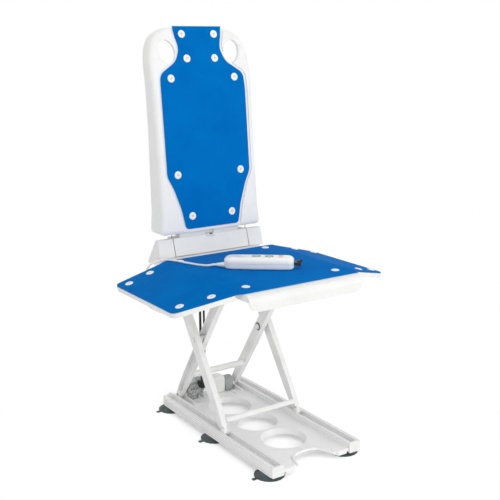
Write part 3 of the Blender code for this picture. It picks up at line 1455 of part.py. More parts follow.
def back_half_outline(inset):
    """Right half of the backrest in (x, height), bottom to top."""
    top = BACK_HEIGHT
    return [
        (0.166 - inset, inset, 0.012 - inset),
        (0.161 - inset, 0.060),
        (0.160 - inset, 0.300),
        (0.163 - inset, 0.460, 0.050 - inset),
        (0.160 - inset, 0.500, 0.030 - inset),
        (0.145 - inset * 0.8, 0.540 - inset * 0.5, 0.030 - inset),
        (0.100 - inset * 0.4, top - inset, 0.030 - inset),
    ]


def symmetric(half):
    """Closed corner list from its right half, bottom to top."""
    return half + [(-corner[0], *corner[1:]) for corner in reversed(half)]


def cover_half_outline(out):
    """Right half of the backrest cover in (x, height), bottom to top, spread by out."""
    return [
        (0.0865 + out * 0.8, 0.012 - out, 0.010),
        (0.0980 + out, 0.070, 0.030),
        (0.1180 + out, 0.128 + out * 0.2, 0.030),
        (0.1355 + out, 0.162, 0.030),
        (0.1360 + out, 0.400),
        (0.1340 + out, 0.440 + out * 0.3, 0.014),
        (0.0800 + out * 0.8, 0.474 + out * 0.7, 0.020),
        (0.0650 + out, 0.508 + out * 0.2, 0.030),
        (0.0740 + out, 0.545, 0.030),
        (0.0775 + out, BACK_HEIGHT + 0.004),
    ]


def backrest_shell():
    """Backrest: a tray open at the back, with a recess for the cover, two hand holes and rivets."""
    def outline_at(inset):
        return fillet(symmetric(back_half_outline(inset)))

    tray = round_slab(outline_at, 0.0, BACK_DEPTH_BOTTOM, BACK_ROUND, "Y")
    slope = (BACK_DEPTH_BOTTOM - BACK_DEPTH_TOP) / BACK_HEIGHT
    wedge = extruded(
        [
            (BACK_DEPTH_BOTTOM + 0.001, -0.01),
            (BACK_DEPTH_BOTTOM + slope * 0.01, -0.01),
            (BACK_DEPTH_TOP - slope * 0.01, BACK_HEIGHT + 0.01),
            (BACK_DEPTH_BOTTOM + 0.02, BACK_HEIGHT + 0.01),
            (BACK_DEPTH_BOTTOM + 0.02, -0.01),
        ],
        -0.2, 0.2, "X",
    )
    tray = cut(tray, wedge)
    floor = RECESS_DEPTH + BACK_WALL
    pocket = extruded(fillet(symmetric(back_half_outline(BACK_WALL))), floor, BACK_DEPTH_BOTTOM + 0.02, "Y")
    x, height = HAND_HOLE
    wide, high = HAND_HOLE_SIZE
    holes = []
    for sign in SIDES.values():
        tilt = -sign * HAND_HOLE_TILT
        collar = circle((sign * x, height), wide + BACK_WALL, 20, (high + BACK_WALL) / (wide + BACK_WALL), tilt)
        pocket = cut(pocket, extruded(collar, -0.01, BACK_DEPTH_BOTTOM + 0.03, "Y"))
        oval = circle((sign * x, height), wide, 20, high / wide, tilt)
        holes.append(extruded(oval, -0.01, BACK_DEPTH_BOTTOM + 0.03, "Y"))
    tray = cut(tray, pocket, *holes)
    recess = symmetric(cover_half_outline(RECESS_MARGIN))
    recess_outline = fillet([(a, b, *rest) for a, b, *rest in recess])
    tray = cut(tray, extruded(recess_outline, -0.01, RECESS_DEPTH, "Y"))
    for px, ph in BACK_RIVETS:
        for sign in SIDES.values():
            head = rivet(0.0, 0.0, -0.0010, COVER_THICKNESS + GAP + RIVET_RISE)
            place = Matrix.Translation((sign * px, RECESS_DEPTH, ph)) @ Matrix.Rotation(math.radians(90), 4, "X")
            tray = joined(tray, moved(head, place))
    for sign in SIDES.values():
        peg = rod("Z", (sign * (CORE_HALF_WIDTH + CHEEK_GAP / 2), 0.024, 0.0), 0.0011, -0.020, 0.010, 8)
        tray = joined(tray, peg)
    return bent(tray)


def backrest_cover():
    """Blue cover of the backrest, in its recess, with a hole for each rivet."""
    holes = [
        circle((sign * x, height), RIVET_RADIUS + BORE_GAP, 16) for x, height in BACK_RIVETS for sign in SIDES.values()
    ]
    rear = RECESS_DEPTH - GAP
    cover = extruded(fillet(symmetric(cover_half_outline(0.0))), rear - COVER_THICKNESS, rear, "Y", holes)
    return bent(cover)


def handset_point(along, across, z):
    """World place on the handset."""
    cosine = math.cos(HANDSET_TURN)
    sine = math.sin(HANDSET_TURN)
    x = HANDSET_CENTER[0] + along * cosine - across * sine
    y = HANDSET_CENTER[1] + along * sine + across * cosine
    return (x, y, z)


def handset_matrix():
    return Matrix.Translation((*HANDSET_CENTER, 0.0)) @ Matrix.Rotation(HANDSET_TURN, 4, "Z")


def handset_outline(inset=0.0):
    """Plan of the handset, full at the lead's end and a little narrower at the hook's."""
    half = HANDSET_LENGTH / 2 - inset
    wide = HANDSET_WIDTH / 2 - inset
    lead_round = HANDSET_WIDTH * 0.34 - inset
    hook_round = HANDSET_WIDTH * 0.23 - inset * 0.9
    return fillet([
        (-half, -wide * 0.84, lead_round),
        (0.0, -wide, 0.100),
        (half, -wide * 0.90, hook_round),
        (half, wide * 0.90, hook_round),
        (0.0, wide, 0.100),
        (-half, wide * 0.84, lead_round),
    ], 3)


def handset_upper():
    """Upper half of the handset, with a pocket for each button."""
    top = round_slab(handset_outline, HANDSET_TOP, HANDSET_SPLIT + GAP, HANDSET_ROUND, "Z")
    for along in BUTTON_STATIONS.values():
        top = cut(top, rod("Z", (along, 0.0, HANDSET_TOP), BUTTON_RADIUS + 0.0004, -0.0045, 0.01, 16))
    return moved(top, handset_matrix())


def handset_lower():
    """Lower half of the handset with the strain relief of its lead."""
    low = round_slab(handset_outline, HANDSET_BOTTOM, HANDSET_SPLIT, HANDSET_ROUND, "Z")
    relief = [
        (0.0, 0.004),
        (0.0068, 0.004),
        (0.0062, -0.004),
        (0.0045, -HANDSET_RELIEF_LENGTH + 0.001),
        (0.0038, -HANDSET_RELIEF_LENGTH),
        (0.0, -HANDSET_RELIEF_LENGTH),
    ]
    cone = turned(relief, "X", (-HANDSET_LENGTH / 2, 0.0, HANDSET_BOTTOM + 0.0072), 16)
    return moved(joined(low, cone), handset_matrix())


def handset_hook():
    """Black hanging hook at the end of the handset."""
    start = HANDSET_LENGTH / 2 + GAP
    outline = fillet([
        (start, -0.0080, 0.0005),
        (start + 0.020, -0.0035, 0.0025),
        (start + 0.020, 0.0010, 0.0020),
        (start + 0.006, 0.0015, 0.0010),
        (start + 0.006, 0.0035, 0.0010),
        (start + 0.021, 0.0040, 0.0010),
        (start + 0.021, 0.0085, 0.0020),
        (start, 0.0095, 0.0005),
    ], 3)
    middle = HANDSET_SPLIT - 0.0015
    return moved(extruded(outline, middle - 0.0025, middle + 0.0025, "Z"), handset_matrix())


def button(along):
    """Round handset button with a slight dome."""
    profile = [
        (0.0, 0.0012),
        (BUTTON_RADIUS * 0.6, 0.0010),
        (BUTTON_RADIUS, 0.0004),
        (BUTTON_RADIUS, -0.0030),
        (0.0, -0.0030),
    ]
    return moved(turned(profile, "Z", (along, 0.0, HANDSET_TOP), 16), handset_matrix())


def smooth_route(points, spacing):
    """Places about a spacing apart on a smooth curve through points, with straight ends."""
    places = [Vector(point) for point in points]
    route = [places[0]]
    for index in range(len(places) - 1):
        start = places[index]
        end = places[index + 1]
        before = places[index - 1] if index else start * 2 - end
        after = places[index + 2] if index + 2 < len(places) else end * 2 - start
        count = max(1, round((end - start).length / spacing))
        for step in range(1, count + 1):
            t = step / count
            route.append(0.5 * (
                2 * start
                + (end - before) * t
                + (2 * before - 5 * start + 4 * end - after) * t * t
                + (3 * start - before - 3 * end + after) * t**3
            ))
    return route


def handset_cord_points():
    """Route of the handset's lead: over the cover, round the left rear corner and up to the gland."""
    on_seat = COVER_TOP + CORD_RADIUS + GAP
    lead_z = HANDSET_BOTTOM + 0.0072
    reach = HANDSET_LENGTH / 2 + HANDSET_RELIEF_LENGTH + GAP
    return [
        handset_point(-reach, 0.0, lead_z),
        handset_point(-reach - 2 * CORD_RADIUS, 0.0, lead_z),
        handset_point(-reach - 0.016, 0.0, lead_z - 0.0035),
        (-0.1275, 0.058, on_seat),
        (-0.144, 0.096, on_seat + 0.0004),
        (-0.1612, 0.137, on_seat + 0.0014),
        (-0.1765, 0.1652, on_seat + 0.0008),
        (-0.199, 0.1770, SEAT_TOP + 0.0055),
        (-0.216, 0.1830, SEAT_TOP - 0.0070),
        (-0.219, 0.1850, SEAT_TOP - 0.0240),
        (-0.213, 0.1800, SEAT_TOP - 0.0400),
        (-0.199, 0.1690, SEAT_TOP - 0.0490),
        (-0.179, 0.1530, SEAT_TOP - 0.0515),
        (-0.160, 0.1390, SEAT_TOP - 0.0450),
        (-0.1515, 0.1340, SEAT_TOP - 0.0330),
        (-0.1510, 0.1335, SEAT_TOP - 0.0235),
        (-0.1510, 0.1335, SEAT_TOP - 0.0235 + 2 * CORD_RADIUS),
    ]


def handset_cord():
    """Lead of the handset as a tube of its real length."""
    return tube(smooth_route(handset_cord_points(), 4 * CORD_RADIUS), CORD_RADIUS)


def cable_gland():
    """Gland under the seat that takes the handset's lead."""
    end = handset_cord_points()[-1]
    low = end[2] + GAP
    top = SEAT_BOTTOM - GAP
    profile = [
        (0.0, top),
        (0.0095, top),
        (0.0095, top - 0.003),
        (0.0065, top - 0.0045),
        (0.0045, low),
        (0.0, low),
    ]
    return turned(profile, "Z", (end[0], end[1], 0.0), 16)


def add_base():
    """Rails, caps, cups, plate and foot brackets."""
    for side, sign in SIDES.items():
        rail = extruded(rail_outline(), RAIL_FRONT, RAIL_REAR, "Y")
        add_part("rail_" + side, on_side(rail, sign), white_metal(), "base")
        for end in ("front", "rear"):
            cap = on_side(rail_cap(end), sign)
            add_part("rail_cap_" + end + "_" + side, cap, white_plastic(), "base")
        for name, station in CUP_STATIONS.items():
            cup = on_side(suction_cup(), sign)
            place = Matrix.Translation((sign * (BASE_HALF_WIDTH - CUP_INSET), BASE_FRONT + station, 0.0))
            add_part("suction_cup_" + name + "_" + side, moved(cup, place), dark_rubber(), "base")
        add_part("foot_bracket_" + side, on_side(foot_bracket(), sign), white_metal(), "base")
    add_part("base_plate", base_plate(), white_plastic(), "base")


def add_drive():
    """Gear casing, motor, housing, stand, plug and leads, with the gears inside."""
    add_part("drive_gearbox", gearbox(), grey_plastic(), "base")
    add_part("drive_motor", motor_can(), white_plastic(), "base")
    add_part("drive_housing", drive_housing(), white_plastic(), "base")
    add_part("drive_bracket", drive_bracket(), grey_plastic(), "base")
    add_part("cable_plug", cable_plug(), black_plastic(), "base")
    add_part("motor_cable", drive_lead(MOTOR_LEAD_X, MOTOR_LEAD_RADIUS, -0.002), black_plastic(), "base")
    add_part("switch_cable", drive_lead(SWITCH_LEAD_X, SWITCH_LEAD_RADIUS, 0.009), black_plastic(), "base")
    add_part("motor_rotor", motor_rotor(), steel(), "motor")
    add_part("drive_gear", drive_gear(), steel(), "inner_legs")
    shaft_start = -(INNER_LEG_FACE + LEG_WIDTH)
    shaft = rod("X", (0, FOOT_Y, FOOT_HEIGHT), SHAFT_RADIUS, shaft_start, GEARBOX_INNER_X - 0.001, 16)
    add_part("drive_shaft", shaft, steel(), "inner_legs")
    pin = rod("X", (0, FOOT_Y, FOOT_HEIGHT), SHAFT_RADIUS, BRACKET_INNER_X - 0.001, INNER_LEG_FACE + LEG_WIDTH, 16)
    add_part("foot_pin_right", pin, steel(), "inner_legs")


def add_scissor():
    """Legs, cross members, bolts and rollers."""
    for side, sign in SIDES.items():
        add_part("inner_leg_" + side, on_side(inner_leg(), sign), white_metal(), "inner_legs")
        add_part("outer_leg_" + side, on_side(outer_leg(), sign), white_metal(), "outer_legs")
        add_part("center_bolt_" + side, on_side(center_bolt(), sign), white_metal(), "outer_legs")
        add_part("foot_roller_" + side, on_side(foot_roller(), sign), white_plastic(), "foot_roller_" + side)
        add_part("top_roller_" + side, on_side(top_roller(), sign), white_plastic(), "top_roller_" + side)
    add_part("cross_tube", cross_tube(), white_metal(), "inner_legs")
    add_part("cross_bar", cross_bar(), white_metal(), "outer_legs")


def add_seat():
    """Seat, tracks, flaps, cheeks and the handset."""
    add_part("seat_plate", seat_plate(), white_plastic(), "seat")
    add_part("seat_cover", seat_cover(), blue_cover(), "seat")
    for side, sign in SIDES.items():
        add_part("seat_track_" + side, on_side(seat_track(), sign), steel(), "seat")
        add_part("hinge_cheek_" + side, on_side(hinge_cheek(), sign), white_plastic(), "seat")
        add_part("flap_" + side, flap(sign), white_plastic(), "flap_" + side)
        add_part("flap_cover_" + side, flap_cover(sign), blue_cover(), "flap_" + side)
    add_part("handset_upper", handset_upper(), white_plastic(), "seat")
    add_part("handset_lower", handset_lower(), white_plastic(), "seat")
    add_part("handset_hook", handset_hook(), black_plastic(), "seat")
    add_part("handset_cord", handset_cord(), white_plastic(), "seat")
    add_part("cable_gland", cable_gland(), white_plastic(), "seat")
    for name, along in BUTTON_STATIONS.items():
        add_part(name, button(along), grey_plastic(), name)


def add_backrest():
    """Reclining middle block, shell, cover and latch."""
    add_part("hinge_core", hinge_core(), white_plastic(), "backrest")
    add_part("backrest_shell", backrest_shell(), white_plastic(), "backrest")
    add_part("backrest_cover", backrest_cover(), blue_cover(), "backrest")
    add_part("latch_tab", latch_tab(), white_plastic(), "latch")


clear_scene()
add_bodies()
add_base()
add_drive()
add_scissor()
add_seat()
add_backrest()
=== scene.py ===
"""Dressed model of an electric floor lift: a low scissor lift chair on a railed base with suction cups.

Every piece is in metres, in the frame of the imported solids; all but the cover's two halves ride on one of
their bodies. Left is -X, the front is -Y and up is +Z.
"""

import json
import logging
import math
from dataclasses import dataclass, field
from enum import Enum
from typing import Any, ClassVar, Sequence

import bmesh
import bpy
from bmesh.types import BMEdge, BMesh, BMVert
from bpy.types import Material, Node, NodeSocket, NodeTree, Object
from mathutils import Matrix, Vector


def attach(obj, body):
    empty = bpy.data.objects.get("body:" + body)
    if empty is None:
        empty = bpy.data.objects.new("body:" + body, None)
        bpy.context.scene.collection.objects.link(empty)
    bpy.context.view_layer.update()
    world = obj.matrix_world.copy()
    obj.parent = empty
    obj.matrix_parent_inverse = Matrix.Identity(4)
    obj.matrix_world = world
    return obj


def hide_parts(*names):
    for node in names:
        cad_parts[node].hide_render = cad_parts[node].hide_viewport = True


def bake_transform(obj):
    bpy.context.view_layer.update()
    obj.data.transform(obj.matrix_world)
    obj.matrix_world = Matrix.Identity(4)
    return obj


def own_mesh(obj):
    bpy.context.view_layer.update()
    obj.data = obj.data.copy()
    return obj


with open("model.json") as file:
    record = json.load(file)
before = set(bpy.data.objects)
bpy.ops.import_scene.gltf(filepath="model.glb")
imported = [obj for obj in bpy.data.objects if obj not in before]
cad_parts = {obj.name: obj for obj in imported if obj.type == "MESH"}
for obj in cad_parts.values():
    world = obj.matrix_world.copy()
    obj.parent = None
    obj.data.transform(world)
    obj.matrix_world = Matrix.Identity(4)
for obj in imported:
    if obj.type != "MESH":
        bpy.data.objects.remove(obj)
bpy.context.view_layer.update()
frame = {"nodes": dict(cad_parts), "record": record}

LOG = logging.getLogger("floor_lift")
# Points nearer to each other than this, in metres, are one.
SAME_PLACE = 1e-6
Colour = tuple[float, float, float, float]
Flat = tuple[float, float]
Line = tuple[Flat, ...]
Point = tuple[float, float, float]


class Side(Enum):
    """The two sides of the lift, with the sign of X on each."""

    LEFT = -1
    RIGHT = 1

    @property
    def word(self) -> str:
        """The side's name in node names."""
        return self.name.lower()


class Grain(Enum):
    """How a surface's fine relief is laid."""

    SPARKED = "sparked"
    ORANGE_PEEL = "orange_peel"
    LEATHER = "leather"
    TURNED = "turned"
    GROOVED = "grooved"


def linear(code: str) -> Colour:
    """Turns an sRGB hex colour to linear RGBA.

    Args:
        code: Six hex digits.

    Returns:
        The colour in linear light, with alpha 1.
    """
    values = [int(code[i:i + 2], 16) / 255 for i in (0, 2, 4)]
    red, green, blue = (v / 12.92 if v <= 0.04045 else ((v + 0.055) / 1.055) ** 2.4 for v in values)
    return (red, green, blue, 1.0)


def feed(node: Node, settings: dict[str | int, Any]) -> Node:
    """Sets a shader node up.

    Args:
        node: The node.
        settings: Values by input name, input number or attribute. A socket, or a node's first output, is
            linked to the input.

    Returns:
        The node.
    """
    for name, value in settings.items():
        value = value.outputs[0] if isinstance(value, Node) else value
        if isinstance(value, NodeSocket):
            node.id_data.links.new(value, node.inputs[name])
        elif isinstance(name, int) or name in node.inputs:
            node.inputs[name].default_value = value
        else:
            setattr(node, name, value)
    return node


def add_node(tree: NodeTree, kind: str, settings: dict[str | int, Any] | None = None) -> Node:
    """Adds a shader node of a type, named without ShaderNode in front, and feeds it its settings."""
    return feed(tree.nodes.new("ShaderNode" + kind), settings or {})


def math_node(tree: NodeTree, operation: str, *values: Any) -> Node:
    """Adds a node that works out an operation on numbers, sockets or other nodes."""
    return add_node(tree, "Math", {"operation": operation, **dict(enumerate(values))})


def ramp(tree: NodeTree, value: Any, ends: Flat, settings: dict[str | int, Any] | None = None) -> Node:
    """Adds a node that maps a value between two ends to a share from 0 to 1, or as its settings say."""
    span = {"From Min": ends[0], "From Max": ends[1], "Value": value}
    return add_node(tree, "MapRange", {**(settings or {}), **span})


@dataclass(frozen=True)
class Finish:
    """A surface finish: a base colour, a broad change of colour and a fine relief, in real millimetres.

    The grooved grain's ribs start at two distances in metres: from the lift's middle, and from the floor.
    """

    name: str
    colour: str
    shade: str
    roughness: float
    grain: Grain = Grain.SPARKED
    grain_mm: float = 1.0
    depth_mm: float = 0.02
    mottle_mm: float = 60.0
    metallic: float = 0.0
    gloss: float = 0.5
    coat: float = 0.0
    slot: str = "white_plastic"
    rib_starts: ClassVar[Flat] = (0.0965, 0.0125)
    rib_flank: ClassVar[Flat] = (0.16, 0.26)
    mottle_range: ClassVar[Flat] = (0.35, 0.68)
    relief_range: ClassVar[Flat] = (0.3, 0.7)
    relief_strength: ClassVar[float] = 0.55
    roughness_spread: ClassVar[float] = 0.05
    coat_roughness: ClassVar[float] = 0.12

    def relief(self, tree: NodeTree, place: NodeSocket) -> Node:
        """Height of the fine relief.

        Args:
            tree: The material's node tree.
            place: Object coordinates in metres.

        Returns:
            The node whose first output is the height, from 0 to 1.
        """
        scale = 1000.0 / self.grain_mm
        if self.grain is Grain.LEATHER:
            cells = {"Scale": scale, "feature": "SMOOTH_F1", "Smoothness": 0.35, "Vector": place}
            pebbles = add_node(tree, "TexVoronoi", cells)
            creases = add_node(tree, "TexNoise", {"Scale": scale * 2.3, "Detail": 2.0, "Vector": place})
            return math_node(tree, "MULTIPLY_ADD", creases, 0.35, pebbles)
        if self.grain is Grain.TURNED:
            stretched = add_node(tree, "Mapping", {"Scale": (scale, 40.0, 40.0), "Vector": place})
            return add_node(tree, "TexNoise", {"Scale": 1.0, "Detail": 3.0, "Vector": stretched})
        if self.grain is Grain.GROOVED:
            axes = add_node(tree, "SeparateXYZ", {"Vector": place}).outputs
            ribs = []
            for axis, start in zip((math_node(tree, "ABSOLUTE", axes["X"]), axes["Z"]), self.rib_starts):
                share = math_node(tree, "FRACT", math_node(tree, "MULTIPLY_ADD", axis, scale, -start * scale))
                ribs.append(ramp(tree, share, self.rib_flank))
            return math_node(tree, "MINIMUM", *ribs)
        detail = 3.0 if self.grain is Grain.SPARKED else 0.5
        return add_node(tree, "TexNoise", {"Scale": scale, "Detail": detail, "Vector": place})

    def material(self) -> Material:
        """Builds the finish's material, once for all the pieces that share it.

        Returns:
            The material.
        """
        made = bpy.data.materials.get(self.name)
        if made:
            return made
        made = bpy.data.materials.new(self.name)
        made.use_nodes = True
        tree = made.node_tree
        place = add_node(tree, "TexCoord").outputs["Object"]
        height = self.relief(tree, place)
        # On a grooved finish the shade colour fills the grooves: painted shadow.
        if self.grain is Grain.GROOVED:
            share = math_node(tree, "SUBTRACT", 1.0, height)
        else:
            broad = {"Scale": 1000.0 / self.mottle_mm, "Detail": 4.0, "Roughness": 0.6, "Vector": place}
            share = ramp(tree, add_node(tree, "TexNoise", broad), self.mottle_range)
        tints = {"data_type": "RGBA", 0: share, 6: linear(self.colour), 7: linear(self.shade)}
        low, high = self.roughness - self.roughness_spread, self.roughness + self.roughness_spread
        bump = {"Strength": self.relief_strength, "Distance": self.depth_mm / 1000.0, "Height": height}
        look = {
            "Base Color": add_node(tree, "Mix", tints).outputs[2],
            "Roughness": ramp(tree, height, self.relief_range, {"To Min": low, "To Max": high}),
            "Normal": add_node(tree, "Bump", bump),
            "Metallic": self.metallic,
            "Specular IOR Level": self.gloss,
            "Coat Weight": self.coat,
            "Coat Roughness": self.coat_roughness,
        }
        feed(tree.nodes["Principled BSDF"], look)
        return made


# Polypropylene from a polished tool: clean white, with a soft highlight and faint flow shading.
SHELL_WHITE = Finish("moulded_polypropylene_white", "F0F0EF", "EAEAE9", 0.42, grain_mm=1.1, mottle_mm=140)
# The seat's moulding has the same resin with a finer, deeper grain.
SEAT_WHITE = Finish(
    "moulded_polypropylene_grained", "EEEEED", "E7E7E6", 0.48, grain_mm=0.9, depth_mm=0.035, mottle_mm=110
)
# Powder coat on aluminium: a hair of orange peel.
POWDER_WHITE = Finish(
    "powder_coated_aluminium", "F1F1F1", "E7E7E6", 0.36, Grain.ORANGE_PEEL, grain_mm=1.8, depth_mm=0.03,
    mottle_mm=70, slot="white_metal",
)
# The same coat on the rails' extrusion, with a grey shadow in the grooves between its ribs.
RAIL_WHITE = Finish(
    "powder_coated_extrusion", "F6F6F6", "D6D7D7", 0.38, Grain.GROOVED, grain_mm=6.0, depth_mm=0.2,
    slot="white_metal",
)
# The base plate's resin gleams more than the shell's, and its flow shows a little.
PLATE_WHITE = Finish("moulded_polypropylene_grey", "F7F7F7", "F0F0F0", 0.36, grain_mm=1.1, mottle_mm=90)
# Closed-cell foam with an embossed vinyl face: a matt, saturated blue with fine pebbles.
BLUE_VINYL = Finish(
    "embossed_vinyl_blue", "0070BF", "0069B8", 0.6, Grain.LEATHER, grain_mm=1.4, depth_mm=0.07, mottle_mm=90,
    gloss=0.01, slot="blue_cover",
)
# Natural rubber with bloom: dark, between grey and teal, and dull.
CUP_RUBBER = Finish(
    "moulded_rubber_dark", "414B4D", "525E60", 0.62, grain_mm=1.3, depth_mm=0.03, mottle_mm=18,
    slot="dark_rubber",
)
# Glass-filled nylon: the gear casing's dark and white mottle is painted reflection and painted shade of a
# shiny, holed casing.
CASING_GREY = Finish(
    "glass_filled_nylon_grey", "CDCFCF", "3E4244", 0.45, depth_mm=0.05, mottle_mm=8, slot="grey_plastic"
)
BRACKET_GREY = Finish(
    "glass_filled_nylon_dark", "A9ABAC", "8C8E90", 0.5, depth_mm=0.04, mottle_mm=14, slot="grey_plastic"
)
# PVC jackets and plugs: near black, with a dull gleam.
JACKET_BLACK = Finish(
    "extruded_pvc_black", "101113", "18191B", 0.42, grain_mm=0.8, depth_mm=0.015, slot="black_plastic"
)
JACKET_WHITE = Finish("extruded_pvc_white", "EEEEED", "E4E4E3", 0.38, grain_mm=0.8, depth_mm=0.015)
# ABS from a mirror-polished tool: the handset gleams more than the seat.
HANDSET_WHITE = Finish(
    "polished_abs_white", "F4F4F1", "EDEDEA", 0.2, Grain.ORANGE_PEEL, grain_mm=3.0, depth_mm=0.01,
    mottle_mm=80, coat=0.25,
)
BUTTON_GREY = Finish(
    "moulded_abs_grey", "C9CDCE", "BFC4C6", 0.35, grain_mm=0.6, depth_mm=0.01, slot="grey_plastic"
)
# Ink prints on the handset's face.
PRINT_GREEN = Finish("pad_print_green", "12904A", "0E8442", 0.4, grain_mm=0.5, depth_mm=0.005)
PRINT_ORANGE = Finish("pad_print_orange", "C9603A", "B85430", 0.4, grain_mm=0.5, depth_mm=0.005)
# Acetal snaps that hold the covers: a smooth, bright white.
SNAP_WHITE = Finish(
    "moulded_acetal_white", "F4F4F4", "ECECEC", 0.3, Grain.ORANGE_PEEL, grain_mm=2.0, depth_mm=0.01
)
# The snap's middle is the tip of its other half: the same resin, duller and greyer.
SNAP_CORE = Finish("moulded_acetal_grey", "D3D5D6", "C7C9CA", 0.45, depth_mm=0.01)
# Ground carbon steel with fine turning lines.
TURNED_STEEL = Finish(
    "turned_steel", "B9BBBC", "A6A8AA", 0.32, Grain.TURNED, grain_mm=0.5, depth_mm=0.01, mottle_mm=12,
    metallic=1.0, slot="steel",
)


def link(name: str, data: Any) -> Object:
    """Makes an object and links it to the scene.

    Args:
        name: The object's name.
        data: Its mesh, curve, lamp or camera, or else a mesh under construction, which is freed.

    Returns:
        The object.
    """
    if isinstance(data, BMesh):
        mesh = bpy.data.meshes.new(name)
        data.to_mesh(mesh)
        data.free()
        data = mesh
    made = bpy.data.objects.new(name, data)
    bpy.context.scene.collection.objects.link(made)
    return made


def outward(shape: BMesh) -> BMesh:
    """Turns the faces of a mesh outward."""
    bmesh.ops.recalc_face_normals(shape, faces=shape.faces)
    return shape


def bevel(shape: BMesh, parts: Sequence[Any], width: float, segments: int = 3, kind: str = "EDGES") -> None:
    """Rounds edges or corners of a mesh.

    Args:
        shape: The mesh.
        parts: The edges or vertices to round.
        width: How far the rounding reaches along each face.
        segments: Number of strips in the rounding.
        kind: EDGES or VERTICES.
    """
    bmesh.ops.bevel(
        shape, geom=list(parts), offset=width, affect=kind, segments=segments, profile=0.5, material=-1,
        clamp_overlap=True,
    )


def merge_flat(shape: BMesh, degrees: float) -> None:
    """Joins faces of a mesh that meet at less than an angle."""
    bmesh.ops.dissolve_limit(shape, angle_limit=math.radians(degrees), verts=shape.verts, edges=shape.edges)


def score(shape: BMesh, axis: int, first: float, gap: float, count: int) -> None:
    """Cuts edges into a mesh where it bends later.

    Args:
        shape: The mesh.
        axis: 0, 1 or 2 for cuts across X, Y or Z.
        first: Place of the first cut.
        gap: Distance between the cuts.
        count: Number of cuts.
    """
    normal = Vector([float(index == axis) for index in range(3)])
    for index in range(count):
        everything = shape.verts[:] + shape.edges[:] + shape.faces[:]
        bmesh.ops.bisect_plane(
            shape, geom=everything, plane_co=normal * (first + gap * index), plane_no=normal, dist=1e-7
        )


def slab(corners: Sequence[Point], low: float, high: float) -> BMesh:
    """Flat plate with rounded corners.

    Args:
        corners: Corners as (x, y, radius), counter-clockwise from above.
        low: Height of the lower face.
        high: Height of the upper face.

    Returns:
        The plate as a closed mesh.
    """
    shape = bmesh.new()
    shape.faces.new([shape.verts.new((x, y, low)) for x, y, _ in corners])
    for x, y, radius in corners:
        if radius <= 0:
            continue
        corner = min(shape.verts, key=lambda v: (v.co - Vector((x, y, low))).length)
        before, after = (edge.other_vert(corner).co - corner.co for edge in corner.link_edges)
        bevel(shape, [corner], radius / math.tan(before.angle(after) / 2), 8, "VERTICES")
    made = bmesh.ops.extrude_face_region(shape, geom=shape.faces[:])
    moved = [item for item in made["geom"] if isinstance(item, BMVert)]
    bmesh.ops.translate(shape, verts=moved, vec=(0, 0, high - low))
    return outward(shape)


def turned(profile: Sequence[Flat], axis: Point, center: Point, steps: int = 32) -> BMesh:
    """Revolves a profile about an axis.

    Args:
        profile: Points as (radius, height along the axis), from one pole to the other.
        axis: Direction of the axis.
        center: Point of the axis at height 0.
        steps: Number of sectors.

    Returns:
        The closed mesh.
    """
    shape = bmesh.new()
    line = [shape.verts.new((radius, 0, height)) for radius, height in profile]
    edges = [shape.edges.new(pair) for pair in zip(line, line[1:])]
    bmesh.ops.spin(
        shape, geom=line + edges, cent=(0, 0, 0), axis=(0, 0, 1), angle=math.tau, steps=steps, use_merge=True
    )
    bmesh.ops.remove_doubles(shape, verts=shape.verts, dist=SAME_PLACE)
    outward(shape)
    turn = Vector((0, 0, 1)).rotation_difference(Vector(axis)).to_matrix().to_4x4()
    bmesh.ops.transform(shape, matrix=Matrix.Translation(center) @ turn, verts=shape.verts)
    return shape


def rounded(corners: Sequence[Sequence[float]], steps: int = 8) -> list[Flat]:
    """Outline with round corners.

    Args:
        corners: Corners as (a, b) or (a, b, radius), in order.
        steps: Strips in each rounding.

    Returns:
        The outline's points.
    """
    outline: list[Flat] = []
    for index, corner in enumerate(corners):
        here = Vector(corner[:2])
        radius = corner[2] if len(corner) > 2 else 0.0
        if radius <= 0.0:
            outline.append(tuple(here))
            continue
        before = (Vector(corners[index - 1][:2]) - here).normalized()
        after = (Vector(corners[(index + 1) % len(corners)][:2]) - here).normalized()
        half = before.angle(after) / 2
        center = here + (before + after).normalized() * (radius / math.sin(half))
        first = here + before * (radius / math.tan(half)) - center
        turn = (math.pi - 2 * half) * (1 if before.cross(after) < 0 else -1)
        turns = [Matrix.Rotation(turn * step / steps, 2) for step in range(steps + 1)]
        outline += [tuple(center + matrix @ first) for matrix in turns]
    return outline


def whole(half: Sequence[Sequence[float]], steps: int = 8) -> list[Flat]:
    """Round-cornered outline from the corners of its right half, bottom to top."""
    return rounded([*half, *((-corner[0], *corner[1:]) for corner in reversed(half))], steps)


def oval(center: Flat, wide: float, high: float, tilt: float, steps: int = 40) -> list[Flat]:
    """Points of a tilted oval.

    Args:
        center: Its middle.
        wide: Half its width before the tilt.
        high: Half its height before the tilt.
        tilt: The tilt in radians.
        steps: Number of points.

    Returns:
        The points.
    """
    turn = Matrix.Rotation(tilt, 2)
    angles = [math.tau * step / steps for step in range(steps)]
    around = [Vector((wide * math.cos(angle), high * math.sin(angle))) for angle in angles]
    return [tuple(Vector(center) + turn @ point) for point in around]


def quarter_round(steps: int) -> list[Flat]:
    """Shares of a soft edge's radius at each line of its rounding: in from the side, and under the face."""
    angles = [math.pi / 2 * step / steps for step in range(steps + 1)]
    return [(1 - math.sin(angle), 1 - math.cos(angle)) for angle in angles]


def loft(loops: Sequence[Sequence[Point]]) -> BMesh:
    """Closed skin over loops with the same number of points, with both ends capped.

    Args:
        loops: The loops, from one end to the other.

    Returns:
        The closed mesh.
    """
    shape = bmesh.new()
    rings = [[shape.verts.new(point) for point in loop] for loop in loops]
    for lower, upper in zip(rings, rings[1:]):
        for index in range(len(lower)):
            after = (index + 1) % len(lower)
            shape.faces.new((lower[index], lower[after], upper[after], upper[index]))
    shape.faces.new(rings[0])
    shape.faces.new(rings[-1])
    return outward(shape)


